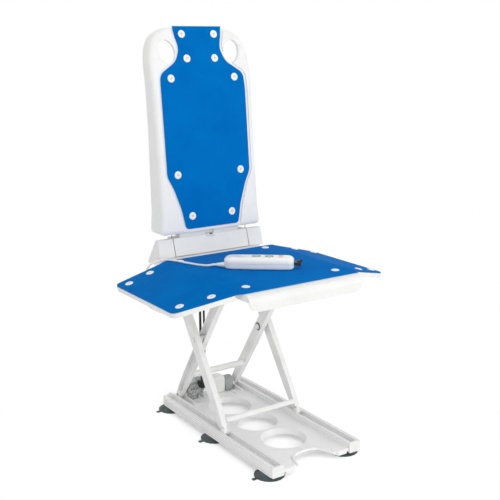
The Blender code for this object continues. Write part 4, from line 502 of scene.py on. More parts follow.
def prism(outline: Sequence[Flat], front: float, rear: float) -> BMesh:
    """Straight block through the backrest's depth, on an outline in (x, height)."""
    return loft([[(x, depth, height) for x, height in outline] for depth in (front, rear)])


def carve(shape: BMesh, tools: Sequence[BMesh]) -> BMesh:
    """Cuts tools out of a mesh.

    Args:
        shape: The closed mesh. It is freed.
        tools: Closed meshes to cut away. They are freed.

    Returns:
        What is left.
    """
    objects = [link(f"carving_{index}", item) for index, item in enumerate((shape, *tools))]
    for tool in objects[1:]:
        cut = objects[0].modifiers.new("cut", "BOOLEAN")
        cut.operation = "DIFFERENCE"
        cut.solver = "MANIFOLD"
        cut.object = tool
    bpy.context.view_layer.update()
    left = bmesh.new()
    left.from_object(objects[0], bpy.context.evaluated_depsgraph_get())
    for item in objects:
        mesh = item.data
        bpy.data.objects.remove(item)
        bpy.data.meshes.remove(mesh)
    return left


def soften(piece: Object, width_mm: float, segments: int, angle: float = 42.0, harden: bool = True) -> None:
    """Rounds a piece's sharp edges with a modifier.

    Args:
        piece: The piece.
        width_mm: Width of the rounding in millimetres.
        segments: Strips in the rounding.
        angle: Edges sharper than this, in degrees, are rounded.
        harden: Whether the faces beside a rounding keep shading as flat.
    """
    rounding = piece.modifiers.new("rounding", "BEVEL")
    rounding.width = width_mm / 1000
    rounding.segments = segments
    rounding.limit_method = "ANGLE"
    rounding.angle_limit = math.radians(angle)
    rounding.harden_normals = harden


@dataclass
class SubAssembly:
    """A group of pieces of the lift that are built and dressed together."""

    # Outlines of a snap's ring and core as (radius, height over the cover).
    snap_ring: ClassVar[Line] = (
        (0.0, 0.0010), (0.0040, 0.0010), (0.0046, 0.0013), (0.0052, 0.0020), (0.0062, 0.0023),
        (0.0080, 0.0020), (0.0098, 0.0012), (0.0109, 0.0003), (0.0109, -0.0008), (0.0, -0.0008),
    )
    snap_core: ClassVar[Line] = (
        (0.0, 0.00155), (0.0022, 0.0015), (0.0034, 0.0012), (0.0037, 0.0009), (0.0037, 0.0006), (0.0, 0.0006),
    )
    made: list[Object] = field(default_factory=list, init=False)

    def place(
        self, shape: BMesh, name: str, body: str, finish: Finish, replaces: Sequence[str] = (),
        smooth: float = 35.0,
    ) -> Object:
        """Makes a finished piece of a mesh.

        Args:
            shape: The piece's mesh, in the frame. It is freed.
            name: The piece's name.
            body: The body that carries it, or nothing for a piece that rides on none.
            finish: Its finish.
            replaces: Nodes that it stands for.
            smooth: Faces that meet at less than this angle, in degrees, shade as one.

        Returns:
            The piece.
        """
        piece = link(name, shape)
        mesh = piece.data
        mesh.polygons.foreach_set("use_smooth", [True] * len(mesh.polygons))
        mesh.set_sharp_from_angle(angle=math.radians(smooth))
        mesh.materials.append(finish.material())
        if body:
            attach(piece, body)
        if replaces:
            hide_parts(*replaces)
        self.made.append(piece)
        return piece

    def refine(self, node: str, finish: Finish, edge_mm: float, segments: int = 2) -> Object:
        """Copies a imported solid, merges its faces and rounds its edges.

        Args:
            node: The solid's node.
            finish: Its finish.
            edge_mm: Width of the rounding in millimetres.
            segments: Strips in the rounding.

        Returns:
            The piece that replaces the node.
        """
        shape = bmesh.new()
        shape.from_mesh(frame["nodes"][node].data)
        bmesh.ops.remove_doubles(shape, verts=shape.verts, dist=SAME_PLACE)
        merge_flat(shape, 0.4)
        bodies = frame["record"]["behaviour"]["bodies"]
        body = next(name for name, nodes in bodies.items() if node in nodes)
        piece = self.place(shape, node + "_skin", body, finish, [node], smooth=38)
        soften(piece, edge_mm, segments)
        return piece

    def snap(self, name: str, body: str, center: Point, axis: Point) -> None:
        """Head of one of the snaps that hold a cover, and its core, on a point of the cover."""
        self.place(turned(self.snap_core, axis, center, 20), name + "_core", body, SNAP_CORE, smooth=50)
        self.place(turned(self.snap_ring, axis, center, 28), name, body, SNAP_WHITE, smooth=50)


@dataclass
class Base(SubAssembly):
    """Rails, caps, suction cups, foot brackets and the plate between the rails."""

    rail_edge_mm: float = 0.6
    cap_edge_mm: float = 0.9
    cup_edge_mm: float = 0.4
    plate_edge_mm: float = 0.8
    stations: tuple[str, ...] = ("front", "mid", "rear")

    def build(self) -> None:
        """Dresses the base."""
        for side in Side:
            self.refine("rail_" + side.word, RAIL_WHITE, self.rail_edge_mm)
            self.refine("foot_bracket_" + side.word, POWDER_WHITE, self.rail_edge_mm)
            for end in ("front", "rear"):
                self.refine(f"rail_cap_{end}_{side.word}", SHELL_WHITE, self.cap_edge_mm, 3)
            for station in self.stations:
                self.refine(f"suction_cup_{station}_{side.word}", CUP_RUBBER, self.cup_edge_mm)
        self.refine("base_plate", PLATE_WHITE, self.plate_edge_mm, 3)


@dataclass
class Drive(SubAssembly):
    """Gear casing, motor, housing, stand and the leads up to the seat."""

    casing_edge_mm: float = 0.8
    motor_edge_mm: float = 0.6
    housing_edge_mm: float = 1.2
    shaft_edge_mm: float = 0.2
    lead_y: float = 0.200
    lead_bottom: float = 0.0873
    lead_top: float = 0.4601
    lead_steps: int = 26
    lead_facets: int = 14

    def lead(self, node: str, x: float, radius: float, bow: float) -> None:
        """One lead between the plug and the seat, as a tube of its real length.

        Args:
            node: The lead's node.
            x: Its place across the lift.
            radius: Half its thickness.
            bow: How far its middle bows sideways.
        """
        path, rings = [], []
        for index in range(self.lead_steps + 1):
            share = index / self.lead_steps
            height = self.lead_bottom + (self.lead_top - self.lead_bottom) * share
            center = (x + bow * math.sin(math.pi * share) ** 2, self.lead_y)
            path.append((*center, height))
            ring = oval(center, radius, radius, math.pi / 2, self.lead_facets)
            rings.append([(*corner, height) for corner in ring])
        piece = self.place(loft(rings), node + "_jacket", "base", JACKET_BLACK, [node], 50)
        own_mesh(piece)

    def build(self) -> None:
        """Dresses the drive."""
        self.refine("drive_gearbox", CASING_GREY, self.casing_edge_mm)
        self.refine("drive_motor", SHELL_WHITE, self.motor_edge_mm)
        self.refine("drive_housing", SHELL_WHITE, self.housing_edge_mm, 3)
        self.refine("drive_bracket", BRACKET_GREY, self.casing_edge_mm)
        self.refine("cable_plug", JACKET_BLACK, self.casing_edge_mm)
        for node in ("motor_rotor", "drive_gear", "drive_shaft", "foot_pin_right"):
            self.refine(node, TURNED_STEEL, self.shaft_edge_mm, 1)
        self.lead("motor_cable", x=-0.0450, radius=0.0036, bow=-0.001)
        self.lead("switch_cable", x=-0.0345, radius=0.0030, bow=0.001)


@dataclass
class Scissor(SubAssembly):
    """Crossed legs with their tube, bar, bolts and rollers."""

    leg_edge_mm: float = 0.7
    tube_edge_mm: float = 0.3
    bar_edge_mm: float = 0.6
    small_edge_mm: float = 0.4
    inner_face: float = 0.0870
    center: Flat = (0.09774, 0.25888)
    # Section of a black ring that paints the shade round a centre bolt's head, as (radius, height over the
    # inner leg).
    washer: Line = (
        (0.0046, 0.0), (0.0046, 0.0007), (0.0110, 0.0007), (0.0114, 0.0005), (0.0114, 0.0), (0.0046, 0.0),
    )

    def build(self) -> None:
        """Dresses the scissor."""
        for side in Side:
            self.refine("inner_leg_" + side.word, POWDER_WHITE, self.leg_edge_mm)
            self.refine("outer_leg_" + side.word, POWDER_WHITE, self.leg_edge_mm)
            self.refine("center_bolt_" + side.word, POWDER_WHITE, self.small_edge_mm)
            center = (side.value * self.inner_face, *self.center)
            # A black ring round each centre bolt's head: painted shade for the head's shadow line.
            washer = turned(self.washer, (-side.value, 0, 0), center, 36)
            self.place(washer, "center_washer_" + side.word, "outer_legs", JACKET_BLACK, smooth=50)
            self.refine("foot_roller_" + side.word, SHELL_WHITE, self.small_edge_mm)
            self.refine("top_roller_" + side.word, SHELL_WHITE, self.small_edge_mm)
        self.refine("cross_tube", POWDER_WHITE, self.tube_edge_mm)
        self.refine("cross_bar", POWDER_WHITE, self.bar_edge_mm)


@dataclass
class Seat(SubAssembly):
    """Seat moulding, its blue cover over both flaps, the flaps, tracks and hinge cheeks.

    A flap's moulding is stretched outward, more with the distance from its hinge, but not round its snaps.
    The snaps' places are (out from the middle, y) on the seat and (out from the hinge, y) on a flap.
    """

    plate_edge_mm: float = 0.6
    flap_edge_mm: float = 1.0
    track_edge_mm: float = 0.3
    cover_top: float = 0.47943
    cover_thickness: float = 0.0033
    cover_edge: float = 0.0012
    cover_front: float = -0.2298
    cover_rear: float = 0.1620
    cover_bend: float = 0.030
    hinge_x: float = 0.1815
    hinge_z: float = 0.46993
    hinge_play: float = 0.0005
    droop: float = math.radians(15)
    flap_side: float = 0.3275
    stretched_from: float = 0.02
    stretched_length: float = 0.126
    stretch: float = 0.075
    snap_height: float = 0.0095
    snap_shift: float = 0.0025
    snap_margin: float = 0.015
    snaps: Line = ((0.141, -0.186), (0.143, 0.138))
    flap_snaps: Line = ((0.050, -0.173), (0.124, -0.143), (0.060, 0.127), (0.128, 0.120))

    def draped(self, out: float, y: float, height: float) -> Vector:
        """Point of the cover on the right side.

        Args:
            out: Distance from the middle, measured along the cover.
            y: Place along the lift.
            height: Height over the cover's lower face.

        Returns:
            The point, level on the seat and laid down along the flap's slope.
        """
        rise = self.cover_top - self.cover_thickness
        start = self.hinge_x + self.hinge_play - self.cover_bend * math.tan(self.droop / 2)
        if out <= start:
            return Vector((out, y, rise + height))
        angle = min((out - start) / self.cover_bend, self.droop)
        over = max(out - start - self.cover_bend * self.droop, 0.0)
        radius = self.cover_bend + height
        x = start + radius * math.sin(angle) + over * math.cos(self.droop)
        z = rise - self.cover_bend + radius * math.cos(angle) - over * math.sin(self.droop)
        return Vector((x, y, z))

    def cover_half(self, side: Side) -> None:
        """One half of the cover, from the seat's middle to a flap's edge, bent down at the hinge to lie on the
        flap.

        Args:
            side: The half's side.
        """
        reach = self.flap_side + self.stretched_length * self.stretch
        corners = [
            (0.0, self.cover_front, 0.0), (0.1795, self.cover_front, 0.006), (0.1930, -0.2190, 0.012),
            (reach, -0.1592, 0.022), (reach, 0.1535, 0.014), (0.1930, 0.1550, 0.03),
            (0.1790, self.cover_rear, 0.03), (0.0, self.cover_rear, 0.0),
        ]
        shape = slab(corners, 0.0, self.cover_thickness)
        score(shape, 0, first=self.hinge_x - 0.006, gap=0.0016, count=9)
        rim = [
            edge for edge in shape.edges
            if all(vertex.co.z > self.cover_thickness - SAME_PLACE for vertex in edge.verts)
            and any(abs(face.normal.z) < 0.5 for face in edge.link_faces)
            and any(vertex.co.x >= SAME_PLACE for vertex in edge.verts)
        ]
        bevel(shape, rim, self.cover_edge)
        for vertex in shape.verts:
            vertex.co = self.draped(*vertex.co)
        if side is Side.LEFT:
            bmesh.ops.scale(shape, vec=(-1, 1, 1), verts=shape.verts)
        outward(shape)
        nodes = ["flap_cover_" + side.word] + (["seat_cover"] if side is Side.LEFT else [])
        piece = self.place(shape, "cover_half_" + side.word, "", BLUE_VINYL, nodes, 30)
        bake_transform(piece)

    def flap(self, side: Side) -> None:
        """One flap's moulding, stretched outward except round its snaps.

        Args:
            side: The flap's side.
        """
        flap = self.refine("flap_" + side.word, SEAT_WHITE, self.flap_edge_mm, 3)
        for vertex in flap.data.vertices:
            over = abs(vertex.co.x) - self.hinge_x - self.stretched_from
            along = (abs(vertex.co.x) - self.hinge_x) / math.cos(self.droop) - self.snap_shift
            gaps = [math.hypot(along - out, vertex.co.y - y) for out, y in self.flap_snaps]
            if over > 0 and min(gaps) > self.snap_margin:
                vertex.co.x += side.value * over * self.stretch
                vertex.co.z -= over * self.stretch * math.tan(self.droop)

    def build(self) -> None:
        """Dresses the seat."""
        self.refine("seat_plate", SEAT_WHITE, self.plate_edge_mm)
        normal = Vector((math.sin(self.droop), 0, math.cos(self.droop)))
        lay = Vector((math.cos(self.droop), 0, -math.sin(self.droop)))
        for side in Side:
            sign = side.value
            self.cover_half(side)
            self.flap(side)
            self.refine("hinge_cheek_" + side.word, SEAT_WHITE, self.plate_edge_mm)
            self.refine("seat_track_" + side.word, TURNED_STEEL, self.track_edge_mm, 1)
            for index, (x, y) in enumerate(self.snaps):
                self.snap(f"seat_snap_{side.word}_{index}", "seat", (sign * x, y, self.cover_top), (0, 0, 1))
            for index, (out, y) in enumerate(self.flap_snaps):
                point = Vector((self.hinge_x, y, self.hinge_z)) + lay * out + normal * self.snap_height
                self.snap(
                    f"flap_snap_{side.word}_{index}", "flap_" + side.word, (sign * point.x, point.y, point.z),
                    (sign * normal.x, 0, normal.z),
                )


@dataclass
class Backrest(SubAssembly):
    """Backrest shell with its cover and snaps, the reclining core and its latch.

    The shell is built upright, in (x, depth behind the face, height over the lower edge), then leaned back.
    The face is a straight slope that leans back further at the crown. The snaps' places are (x, height).
    """

    core_edge_mm: float = 0.8
    latch_edge_mm: float = 0.5
    bottom: float = 0.53993
    height: float = 0.5655
    face: float = 0.1922
    slope: float = 0.0885
    crown_start: float = 0.415
    crown_slope: float = 0.148
    crown_softness: float = 0.030
    edge: float = 0.013
    rim_edge: float = 0.0018
    rim_depth: float = 0.0045
    wall: float = 0.0035
    beyond: float = 0.01
    hollow_depth: float = 0.09
    recess_depth: float = 0.003
    recess_play: float = 0.0085
    collar_depth: float = 0.0105
    depth_bottom: float = 0.068
    depth_top: float = 0.0353
    hand_hole: Flat = (0.104, 0.500)
    hole_wide: float = 0.025
    hole_high: float = 0.0325
    hole_tilt: float = math.radians(16)
    hole_margin: float = 1.3
    # Soft rim of a hand hole as (depth, how far it spreads out).
    hole_flare: Line = (
        (-0.0100, 0.0022), (0.0, 0.0022), (0.0002, 0.0014), (0.0007, 0.0007), (0.0013, 0.0002), (0.0022, 0.0),
        (0.12, 0.0),
    )
    # Side of the cover as (depth, how far in), from its soft front edge to its rear.
    cover_side: Line = (
        (-0.0010, 0.0016), (-0.0008, 0.0008), (-0.0003, 0.0002), (0.0004, 0.0), (0.0029, 0.0),
    )
    snaps: Line = ((0.052, 0.548), (0.045, 0.482), (0.103, 0.429), (0.104, 0.166), (0.066, 0.048))
    snap_lift: float = 0.0008
    unit_front: float = 0.209
    toe_share: float = 0.45
    rod_x: float = 0.124
    rod_depth: float = 0.024
    rod_profile: Line = (
        (0.0, 0.010), (0.0011, 0.010), (0.0011, -0.0195), (0.0008, -0.0200), (0.0, -0.0200),
    )
    slot_half: float = 0.0052
    slot_front: float = 0.20635
    slot_rear: float = 0.2092
    slot_low: float = 0.52660
    slot_high: float = 0.52925
    slot_corner: float = 0.0006

    def lean(self, height: float) -> Flat:
        """How the backrest's face leans at a height over its lower edge.

        Args:
            height: Height over the lower edge.

        Returns:
            How far the face lies behind the lower edge, and its slope there.
        """
        over = height - self.crown_start
        root = math.hypot(over, self.crown_softness)
        back = self.slope * height + self.crown_slope * (over + root) / 2
        return back, self.slope + self.crown_slope * (1 + over / root) / 2

    def outline(self, inset: float) -> list[tuple[float, ...]]:
        """Right half of the shell's outline, bottom to top.

        Args:
            inset: How far it lies inside the shell's edge.

        Returns:
            Corners as (x, height, radius).
        """
        return [
            (0.166 - inset, inset, 0.013 - inset * 0.6),
            (0.161 - inset, 0.060),
            (0.160 - inset, 0.300),
            (0.163 - inset, 0.460, 0.30),
            (0.160 - inset, 0.500, 0.13),
            (0.145 - inset * 0.8, 0.540 - inset * 0.5, 0.057),
            (0.100 - inset * 0.4, self.height - inset, 0.095),
        ]

    @staticmethod
    def recess(out: float) -> list[tuple[float, ...]]:
        """Right half of the cover's outline, or of the recess round it, bottom to top.

        Args:
            out: How far it lies outside the cover's edge.

        Returns:
            Corners as (x, height, radius).
        """
        return [
            (0.0865 + out * 0.8, 0.012 - out, 0.012),
            (0.0980 + out, 0.070, 0.040),
            (0.1180 + out, 0.128 + out * 0.2, 0.060),
            (0.1355 + out, 0.162, 0.040),
            (0.1360 + out, 0.400),
            (0.1340 + out, 0.440 + out * 0.3, 0.030),
            (0.0800 + out * 0.8, 0.474 + out * 0.7, 0.045),
            (0.0650 + out, 0.508 + out * 0.2, 0.045),
            (0.0740 + out, 0.545, 0.030),
            (0.0775 + out, 0.5695),
        ]

    def on_rim(self, edge: BMEdge) -> bool:
        """Finds the sharp edges at the shell's front, but for those of the hand holes.

        Args:
            edge: An edge of the shell.

        Returns:
            Whether it is one of them.
        """
        x, height = self.hand_hole
        middle = (edge.verts[0].co + edge.verts[1].co) / 2
        off_hole = math.hypot((abs(middle.x) - x) / self.hole_wide, (middle.z - height) / self.hole_high)
        if off_hole < self.hole_margin or max(vertex.co.y for vertex in edge.verts) >= self.rim_depth:
            return False
        return len(edge.link_faces) == 2 and edge.calc_face_angle(0.0) > math.radians(60)

    def hole(self, side: Side, spread: float) -> list[Flat]:
        """Outline of a hand hole, spread outward."""
        center = (side.value * self.hand_hole[0], self.hand_hole[1])
        return oval(center, self.hole_wide + spread, self.hole_high + spread, -side.value * self.hole_tilt)

    def shell(self) -> None:
        """The backrest's moulding: a soft-edged tray with a recess, two hand holes and a hollow back."""
        levels = [
            [(x, self.edge * deep, height) for x, height in whole(self.outline(self.edge * inward))]
            for inward, deep in quarter_round(7)
        ]
        deepen = (self.depth_top - self.depth_bottom) / self.height
        rear = [(x, self.depth_bottom + deepen * height, height) for x, height in whole(self.outline(0.0))]
        tray = loft([*levels, rear])
        hollow = prism(whole(self.outline(self.wall)), self.recess_depth + self.wall, self.hollow_depth)
        holes = []
        for side in Side:
            hollow = carve(hollow, [prism(self.hole(side, self.wall), -self.beyond, self.collar_depth)])
            flare = self.hole_flare
            holes.append(loft([[(x, depth, z) for x, z in self.hole(side, out)] for depth, out in flare]))
        recess = prism(whole(self.recess(self.recess_play)), -self.beyond, self.recess_depth)
        shape = carve(tray, [hollow, *holes, recess])
        merge_flat(shape, 0.05)
        bevel(shape, [edge for edge in shape.edges if self.on_rim(edge)], self.rim_edge)
        self.set_up(shape)
        self.place(shape, "backrest_moulding", "backrest", SHELL_WHITE, ["backrest_shell"], 40)

    def set_up(self, shape: BMesh) -> None:
        """Bends an upright shape to the backrest's face and crown, and moves it into the frame.

        Args:
            shape: A mesh in (x, depth behind the face, height over the lower edge).
        """
        score(shape, 2, first=0.345, gap=0.0075, count=24)
        for vertex in shape.verts:
            across, depth, rise = vertex.co
            vertex.co = (across, self.face + depth + self.lean(rise)[0], self.bottom + rise)
        outward(shape)

    def cover(self) -> None:
        """The backrest's cover: a soft-edged pad that lies in the shell's recess and follows its crown."""
        outline = whole(self.recess(0.0), 12)
        levels = []
        for depth, inset in self.cover_side:
            loop = []
            for index, point in enumerate(outline):
                along = Vector(outline[(index + 1) % len(outline)]) - Vector(outline[index - 1])
                inward = Vector((-along.y, along.x)).normalized()
                loop.append((point[0] + inward.x * inset, depth, point[1] + inward.y * inset))
            levels.append(loop)
        shape = loft(levels)
        self.set_up(shape)
        self.place(shape, "backrest_pad", "backrest", BLUE_VINYL, ["backrest_cover"], 30)

    def hinge_unit(self) -> None:
        """The hinge's middle block, whose toe is pulled back together with the seat's cheeks."""
        core = self.refine("hinge_core", SEAT_WHITE, self.core_edge_mm)
        for piece in (core, *(bpy.data.objects[f"hinge_cheek_{side.word}_skin"] for side in Side)):
            for vertex in piece.data.vertices:
                if vertex.co.y < self.unit_front:
                    vertex.co.y = self.unit_front - (self.unit_front - vertex.co.y) * self.toe_share

    def build(self) -> None:
        """Dresses the backrest."""
        self.shell()
        for side in Side:
            center = (side.value * self.rod_x, self.face + self.rod_depth, self.bottom)
            rod = turned(self.rod_profile, (0, 0, 1), center, 12)
            self.place(rod, "stop_rod_" + side.word, "backrest", TURNED_STEEL)
        self.cover()
        self.hinge_unit()
        self.refine("latch_tab", SEAT_WHITE, self.latch_edge_mm)
        # A thin black block in the latch tab's slot: painted shade for the slot's dark inside.
        half, front, rear = self.slot_half, self.slot_front, self.slot_rear
        corners = [(-half, front), (half, front), (half, rear), (-half, rear)]
        slot = slab([(*corner, self.slot_corner) for corner in corners], self.slot_low, self.slot_high)
        self.place(slot, "latch_slot", "latch", JACKET_BLACK)
        for side in Side:
            for index, (x, height) in enumerate(self.snaps):
                back, slope = self.lean(height)
                axis = Vector((0, -1, slope)).normalized()
                foot = Vector((side.value * x, self.face + back, self.bottom + height))
                center = foot + axis * self.snap_lift
                self.snap(f"back_snap_{side.word}_{index}", "backrest", tuple(center), tuple(axis))


@dataclass
class Handset(SubAssembly):
    """Hand control that lies on the seat, with its buttons, hook, lead and gland.

    Its own axes run along it, from the lead's end (-) to the hook (+), and across it. Its place and its turn
    on the seat lay them into the frame.
    """

    place_on_seat: Point = (-0.0079, -0.0499, 0.0)
    turn: float = math.radians(-38.9)
    top: float = 0.51173
    split: float = 0.49509
    bottom: float = 0.47973
    joint: float = 0.0004
    half_length: float = 0.093
    half_width: float = 0.028
    upper_edge: float = 0.0125
    lower_edge: float = 0.006
    well_radius: float = 0.0069
    well_depth: float = 0.0045
    button_edge_mm: float = 0.3
    buttons: tuple[tuple[str, float], ...] = (("up", -0.007), ("down", 0.027))
    sleeve_height: float = 0.0072
    sleeve_radius: float = 0.0071
    sleeve_taper: float = 0.00047
    # One rib of the strain relief's sleeve as (how far in, how far along).
    rib: Line = ((0.0, 0.0), (0.0, 0.0016), (0.0008, 0.0018), (0.0008, 0.0026))
    rib_start: float = 0.0015
    rib_gap: float = 0.0029
    rib_count: int = 7
    # Corners of the hook as (along, across, radius). From prong_start one prong rises and the other dips.
    hook: tuple[Point, ...] = (
        (0.0905, -0.0100, 0.0), (0.0970, -0.0100, 0.002), (0.1110, -0.0085, 0.002), (0.1125, -0.0050, 0.002),
        (0.1000, -0.0016, 0.0012), (0.1000, 0.0016, 0.0012), (0.1150, 0.0048, 0.002), (0.1140, 0.0085, 0.002),
        (0.0985, 0.0100, 0.002), (0.0905, 0.0100, 0.0),
    )
    hook_heights: Flat = (-0.0056, 0.0030)
    hook_edge_mm: float = 0.8
    prong_start: float = 0.099
    prong_slopes: Flat = (0.40, -0.22)
    ring_radii: Flat = (0.0072, 0.0122)
    bar_ends: Flat = (0.051, 0.064)
    bar_sides: Flat = (0.0040, 0.0110)
    bar_corner: float = 0.003
    print_heights: Flat = (-0.0004, 0.00004)
    cord_radius: float = 0.003
    route: tuple[Point, ...] = (
        (-0.0976, 0.0225, 0.4869), (-0.1023, 0.0263, 0.4867), (-0.1101, 0.0334, 0.4845),
        (-0.1158, 0.0398, 0.4831), (-0.1217, 0.0484, 0.4828), (-0.1275, 0.0580, 0.4827),
        (-0.1330, 0.0696, 0.4828), (-0.1385, 0.0826, 0.4829), (-0.1440, 0.0960, 0.4831),
        (-0.1483, 0.1063, 0.4834), (-0.1527, 0.1171, 0.4837), (-0.1570, 0.1276, 0.4840),
        (-0.1612, 0.1370, 0.4841), (-0.1662, 0.1480, 0.4841), (-0.1709, 0.1570, 0.4838),
        (-0.1776, 0.1655, 0.4828), (-0.1876, 0.1717, 0.4808), (-0.2054, 0.1759, 0.4757),
        (-0.2133, 0.1798, 0.4708), (-0.2186, 0.1832, 0.4629), (-0.2206, 0.1855, 0.4533),
        (-0.2193, 0.1860, 0.4432), (-0.2150, 0.1843, 0.4342), (-0.2084, 0.1806, 0.4276),
        (-0.2007, 0.1752, 0.4243), (-0.1857, 0.1617, 0.4241), (-0.1706, 0.1482, 0.4241),
        (-0.1623, 0.1420, 0.4264), (-0.1556, 0.1369, 0.43285), (-0.1517, 0.1340, 0.44226),
        (-0.1510, 0.1335, 0.4500), (-0.1510, 0.1335, 0.4581),
    )

    @property
    def matrix(self) -> Matrix:
        """Lays the handset's own axes into the frame."""
        return Matrix.Translation(self.place_on_seat) @ Matrix.Rotation(self.turn, 4, "Z")

    def laid(self, shape: BMesh) -> BMesh:
        """Moves a mesh from the handset's own axes into the frame."""
        bmesh.ops.transform(shape, matrix=self.matrix, verts=shape.verts)
        return shape

    def lead(self) -> None:
        """The handset's lead, a smooth curve through its route."""
        data = bpy.data.curves.new("handset_lead", "CURVE")
        data.dimensions = "3D"
        data.bevel_depth = self.cord_radius
        data.bevel_resolution = 5
        data.use_fill_caps = True
        data.resolution_u = 8
        line = data.splines.new("BEZIER")
        line.bezier_points.add(len(self.route) - 1)
        for knot, place in zip(line.bezier_points, self.route):
            knot.co = place
            knot.handle_left_type = knot.handle_right_type = "AUTO"
        piece = link("handset_lead", data)
        self.made.append(piece)
        data.materials.append(JACKET_WHITE.material())
        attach(piece, "seat")
        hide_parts("handset_cord")

    def outline(self, inset: float) -> list[Flat]:
        """Plan of the casing, with a rounder end at the lead than at the hook.

        Args:
            inset: How far it lies inside the casing's side.

        Returns:
            The points, in the handset's own axes.
        """
        half, wide = self.half_length - inset, self.half_width - inset
        lead_end = (-half, wide * 0.88, 0.0215 - inset * 0.7)
        hook_end = (half, wide * 0.90, 0.0150 - inset * 0.6)
        upper = [hook_end, (0.0, wide, 0.30), lead_end]
        return rounded([(x, -y, radius) for x, y, radius in reversed(upper)] + upper)

    def casing(self, face: float, split: float, radius: float) -> BMesh:
        """One half of the casing, with a soft outer edge.

        Args:
            face: Height of its outer face.
            split: Height of its face at the joint.
            radius: Radius of the soft edge.

        Returns:
            The half in the handset's own axes.
        """
        toward = 1 if split > face else -1
        levels = [
            [(x, y, face + toward * radius * deep) for x, y in self.outline(radius * inward * 1.1)]
            for inward, deep in quarter_round(8)
        ]
        return loft([*levels, [(x, y, split) for x, y in self.outline(0.0)]])

    def body(self) -> None:
        """Both halves of the casing, with a well for each button in the upper one."""
        upper = self.casing(self.top, self.split + self.joint, self.upper_edge)
        radius, depth = self.well_radius, self.well_depth
        profile = [(0.0, 0.01), (radius, 0.01), (radius, -depth), (0.0, -depth)]
        wells = [turned(profile, (0, 0, 1), (along, 0, self.top), 40) for _, along in self.buttons]
        upper = self.laid(carve(upper, wells))
        self.place(upper, "handset_casing_upper", "seat", HANDSET_WHITE, ["handset_upper"], 40)
        lower = self.laid(self.casing(self.bottom, self.split, self.lower_edge))
        self.place(lower, "handset_casing_lower", "seat", HANDSET_WHITE, ["handset_lower"], 40)

    def relief(self) -> None:
        """Strain relief: a tapered sleeve with open ribs, out of the casing's end."""
        profile = [(0.0, 0.004), (0.0076, 0.004), (0.0074, -0.001)]
        for index in range(self.rib_count):
            along = self.rib_start + index * self.rib_gap
            radius = self.sleeve_radius - index * self.sleeve_taper
            profile += [(radius - inward, -along - further) for inward, further in self.rib]
        profile += [(0.0036, -0.0218), (0.0, -0.0220)]
        end = (-self.half_length, 0, self.bottom + self.sleeve_height)
        self.place(self.laid(turned(profile, (1, 0, 0), end, 24)), "handset_relief", "seat", HANDSET_WHITE)

    def hanger(self) -> None:
        """The forked hook at the casing's end."""
        low, high = self.hook_heights
        fork = slab(self.hook, self.split + low, self.split + high)
        rise, dip = self.prong_slopes
        for vertex in fork.verts:
            vertex.co.z += max(vertex.co.x - self.prong_start, 0.0) * (rise if vertex.co.y > 0 else dip)
        piece = self.place(self.laid(fork), "handset_hanger", "seat", JACKET_BLACK, ["handset_hook"])
        soften(piece, self.hook_edge_mm, 3, angle=30, harden=False)

    def prints(self) -> None:
        """Green rings round the buttons and two orange bars beside them."""
        low, high = self.print_heights
        inner, outer = self.ring_radii
        profile = [(inner, high), (outer, high), (outer, low), (inner, low), (inner, high)]
        for name, along in self.buttons:
            ring = turned(profile, (0, 0, 1), tuple(self.matrix @ Vector((along, 0, self.top))), 36)
            self.place(ring, name + "_print", "seat", PRINT_GREEN, smooth=50)
        start, end = self.bar_ends
        for side in Side:
            near, far = sorted(side.value * edge for edge in self.bar_sides)
            corners = [(start, near), (end, near), (end, far), (start, far)]
            bar = slab([(*corner, self.bar_corner) for corner in corners], self.top + low, self.top + high)
            self.place(self.laid(bar), "side_print_" + side.word, "seat", PRINT_ORANGE, smooth=50)

    def gland(self) -> None:
        """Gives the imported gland, which is shown as it is, the seat's finish."""
        gland = frame["nodes"]["cable_gland"]
        gland.data.materials.clear()
        gland.data.materials.append(SEAT_WHITE.material())

    def build(self) -> None:
        """Dresses the handset."""
        self.lead()
        self.body()
        self.relief()
        self.hanger()
        for name, _ in self.buttons:
            self.refine(name + "_button", BUTTON_GREY, self.button_edge_mm)
        self.prints()
        self.gland()


@dataclass(frozen=True)
class Lamp:
    """A square soft box: its place, the point that it faces, its side in metres and its power in watts."""

    name: str
    place: Point
    aim: Point
    size: float
    power: float
    colour: Point = (1.0, 0.995, 0.985)

    def hang(self) -> None:
        """Adds the lamp to the scene."""
        data = bpy.data.lights.new(self.name, "AREA")
        data.size = self.size
        data.energy = self.power
        data.color = self.colour
        lamp = link(self.name, data)
        lamp.location = self.place
        lamp.rotation_euler = (Vector(self.aim) - Vector(self.place)).to_track_quat("-Z", "Y").to_euler()


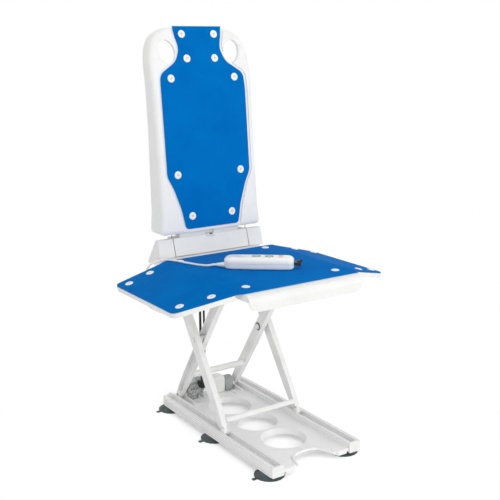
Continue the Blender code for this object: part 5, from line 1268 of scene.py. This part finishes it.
@dataclass
class Studio:
    """Camera, lamps, floor and background."""

    place: Point = (-1.286, -1.915, 1.0555)
    turn: float = 0.5902
    pitch: float = 0.2291
    roll: float = -0.0073
    focal_px: float = 876.67
    picture_px: float = 500
    sensor_mm: float = 36.0
    floor_colour: str = "F4F4F4"
    floor_glow: float = 0.35
    floor_half: float = 14.0
    floor_drop: float = 0.0006
    white_range: Flat = (0.35, 0.75)
    world: float = 0.76
    lamps: tuple[Lamp, ...] = (
        Lamp("key", (1.7, -2.5, 1.4), (0, 0, 0.5), size=1.6, power=18.0),
        Lamp("fill", (-0.5, -2.9, 0.45), (0, 0, 0.12), size=1.6, power=21.0),
        Lamp("side", (-2.6, -1.0, 0.35), (0, 0, 0.15), size=1.0, power=3.0),
        Lamp("top", (0.0, 0.2, 2.9), (0, 0, 0.4), size=2.2, power=7.0),
    )

    def camera(self) -> None:
        """Puts the camera where the photograph was taken from."""
        data = bpy.data.cameras.new("camera")
        data.sensor_width = self.sensor_mm
        data.lens = self.sensor_mm * self.focal_px / self.picture_px
        camera = link("camera", data)
        heading = Matrix.Rotation(-self.turn, 4, "Z") @ Matrix.Rotation(math.pi / 2 - self.pitch, 4, "X")
        camera.matrix_world = Matrix.Translation(self.place) @ heading @ Matrix.Rotation(self.roll, 4, "Z")
        bpy.context.scene.camera = camera

    def background(self) -> None:
        """White background behind a plain world light."""
        world = bpy.data.worlds.new("studio")
        bpy.context.scene.world = world
        world.use_nodes = True
        tree = world.node_tree
        tree.nodes.clear()
        rays = add_node(tree, "LightPath").outputs
        seen = math_node(tree, "MAXIMUM", rays["Is Camera Ray"], rays["Is Glossy Ray"])
        plain = add_node(tree, "Background", {"Color": (1, 1, 1, 1), "Strength": self.world})
        white = add_node(tree, "Background", {"Color": (1, 1, 1, 1), "Strength": 1.0})
        mix = add_node(tree, "MixShader", {0: seen, 1: plain, 2: white})
        add_node(tree, "OutputWorld", {"Surface": mix})

    def floor(self) -> None:
        """Pale floor that keeps the lift's shadow and runs white into the background."""
        shape = bmesh.new()
        low = Matrix.Translation((0, 0, -self.floor_drop))
        bmesh.ops.create_grid(shape, x_segments=1, y_segments=1, size=self.floor_half, matrix=low)
        floor = link("floor", shape)
        finish = bpy.data.materials.new("studio_floor")
        finish.use_nodes = True
        tree = finish.node_tree
        tree.nodes.clear()
        rays = add_node(tree, "LightPath").outputs
        place = add_node(tree, "TexCoord").outputs["Object"]
        distance = add_node(tree, "VectorMath", {"operation": "LENGTH", 0: place}).outputs["Value"]
        far = ramp(tree, distance, self.white_range, {"interpolation_type": "SMOOTHSTEP"})
        matt = add_node(tree, "BsdfDiffuse", {"Color": linear(self.floor_colour), "Roughness": 1.0})
        glow = add_node(tree, "Emission", {"Strength": self.floor_glow})
        near = add_node(tree, "AddShader", {0: matt, 1: glow})
        white = add_node(tree, "Emission", {"Strength": 1.0})
        seen = add_node(tree, "MixShader", {0: far, 1: near, 2: white})
        mix = add_node(tree, "MixShader", {0: rays["Is Camera Ray"], 1: matt, 2: seen})
        add_node(tree, "OutputMaterial", {"Surface": mix})
        floor.data.materials.append(finish)

    def build(self) -> None:
        """Sets up the studio."""
        self.camera()
        self.background()
        self.floor()
        for lamp in self.lamps:
            lamp.hang()
        bpy.context.scene.view_settings.view_transform = "Standard"


def main() -> None:
    """Builds the lift's sub-assemblies in order and reports each piece."""
    logging.basicConfig(level=logging.INFO, format="%(name)s: %(message)s")
    Studio().build()
    for group in (Handset(), Base(), Drive(), Scissor(), Seat(), Backrest()):
        group.build()
        for piece in group.made:
            LOG.info("%s: %s", type(group).__name__, piece.name)


if __name__ == "__main__":
    main()
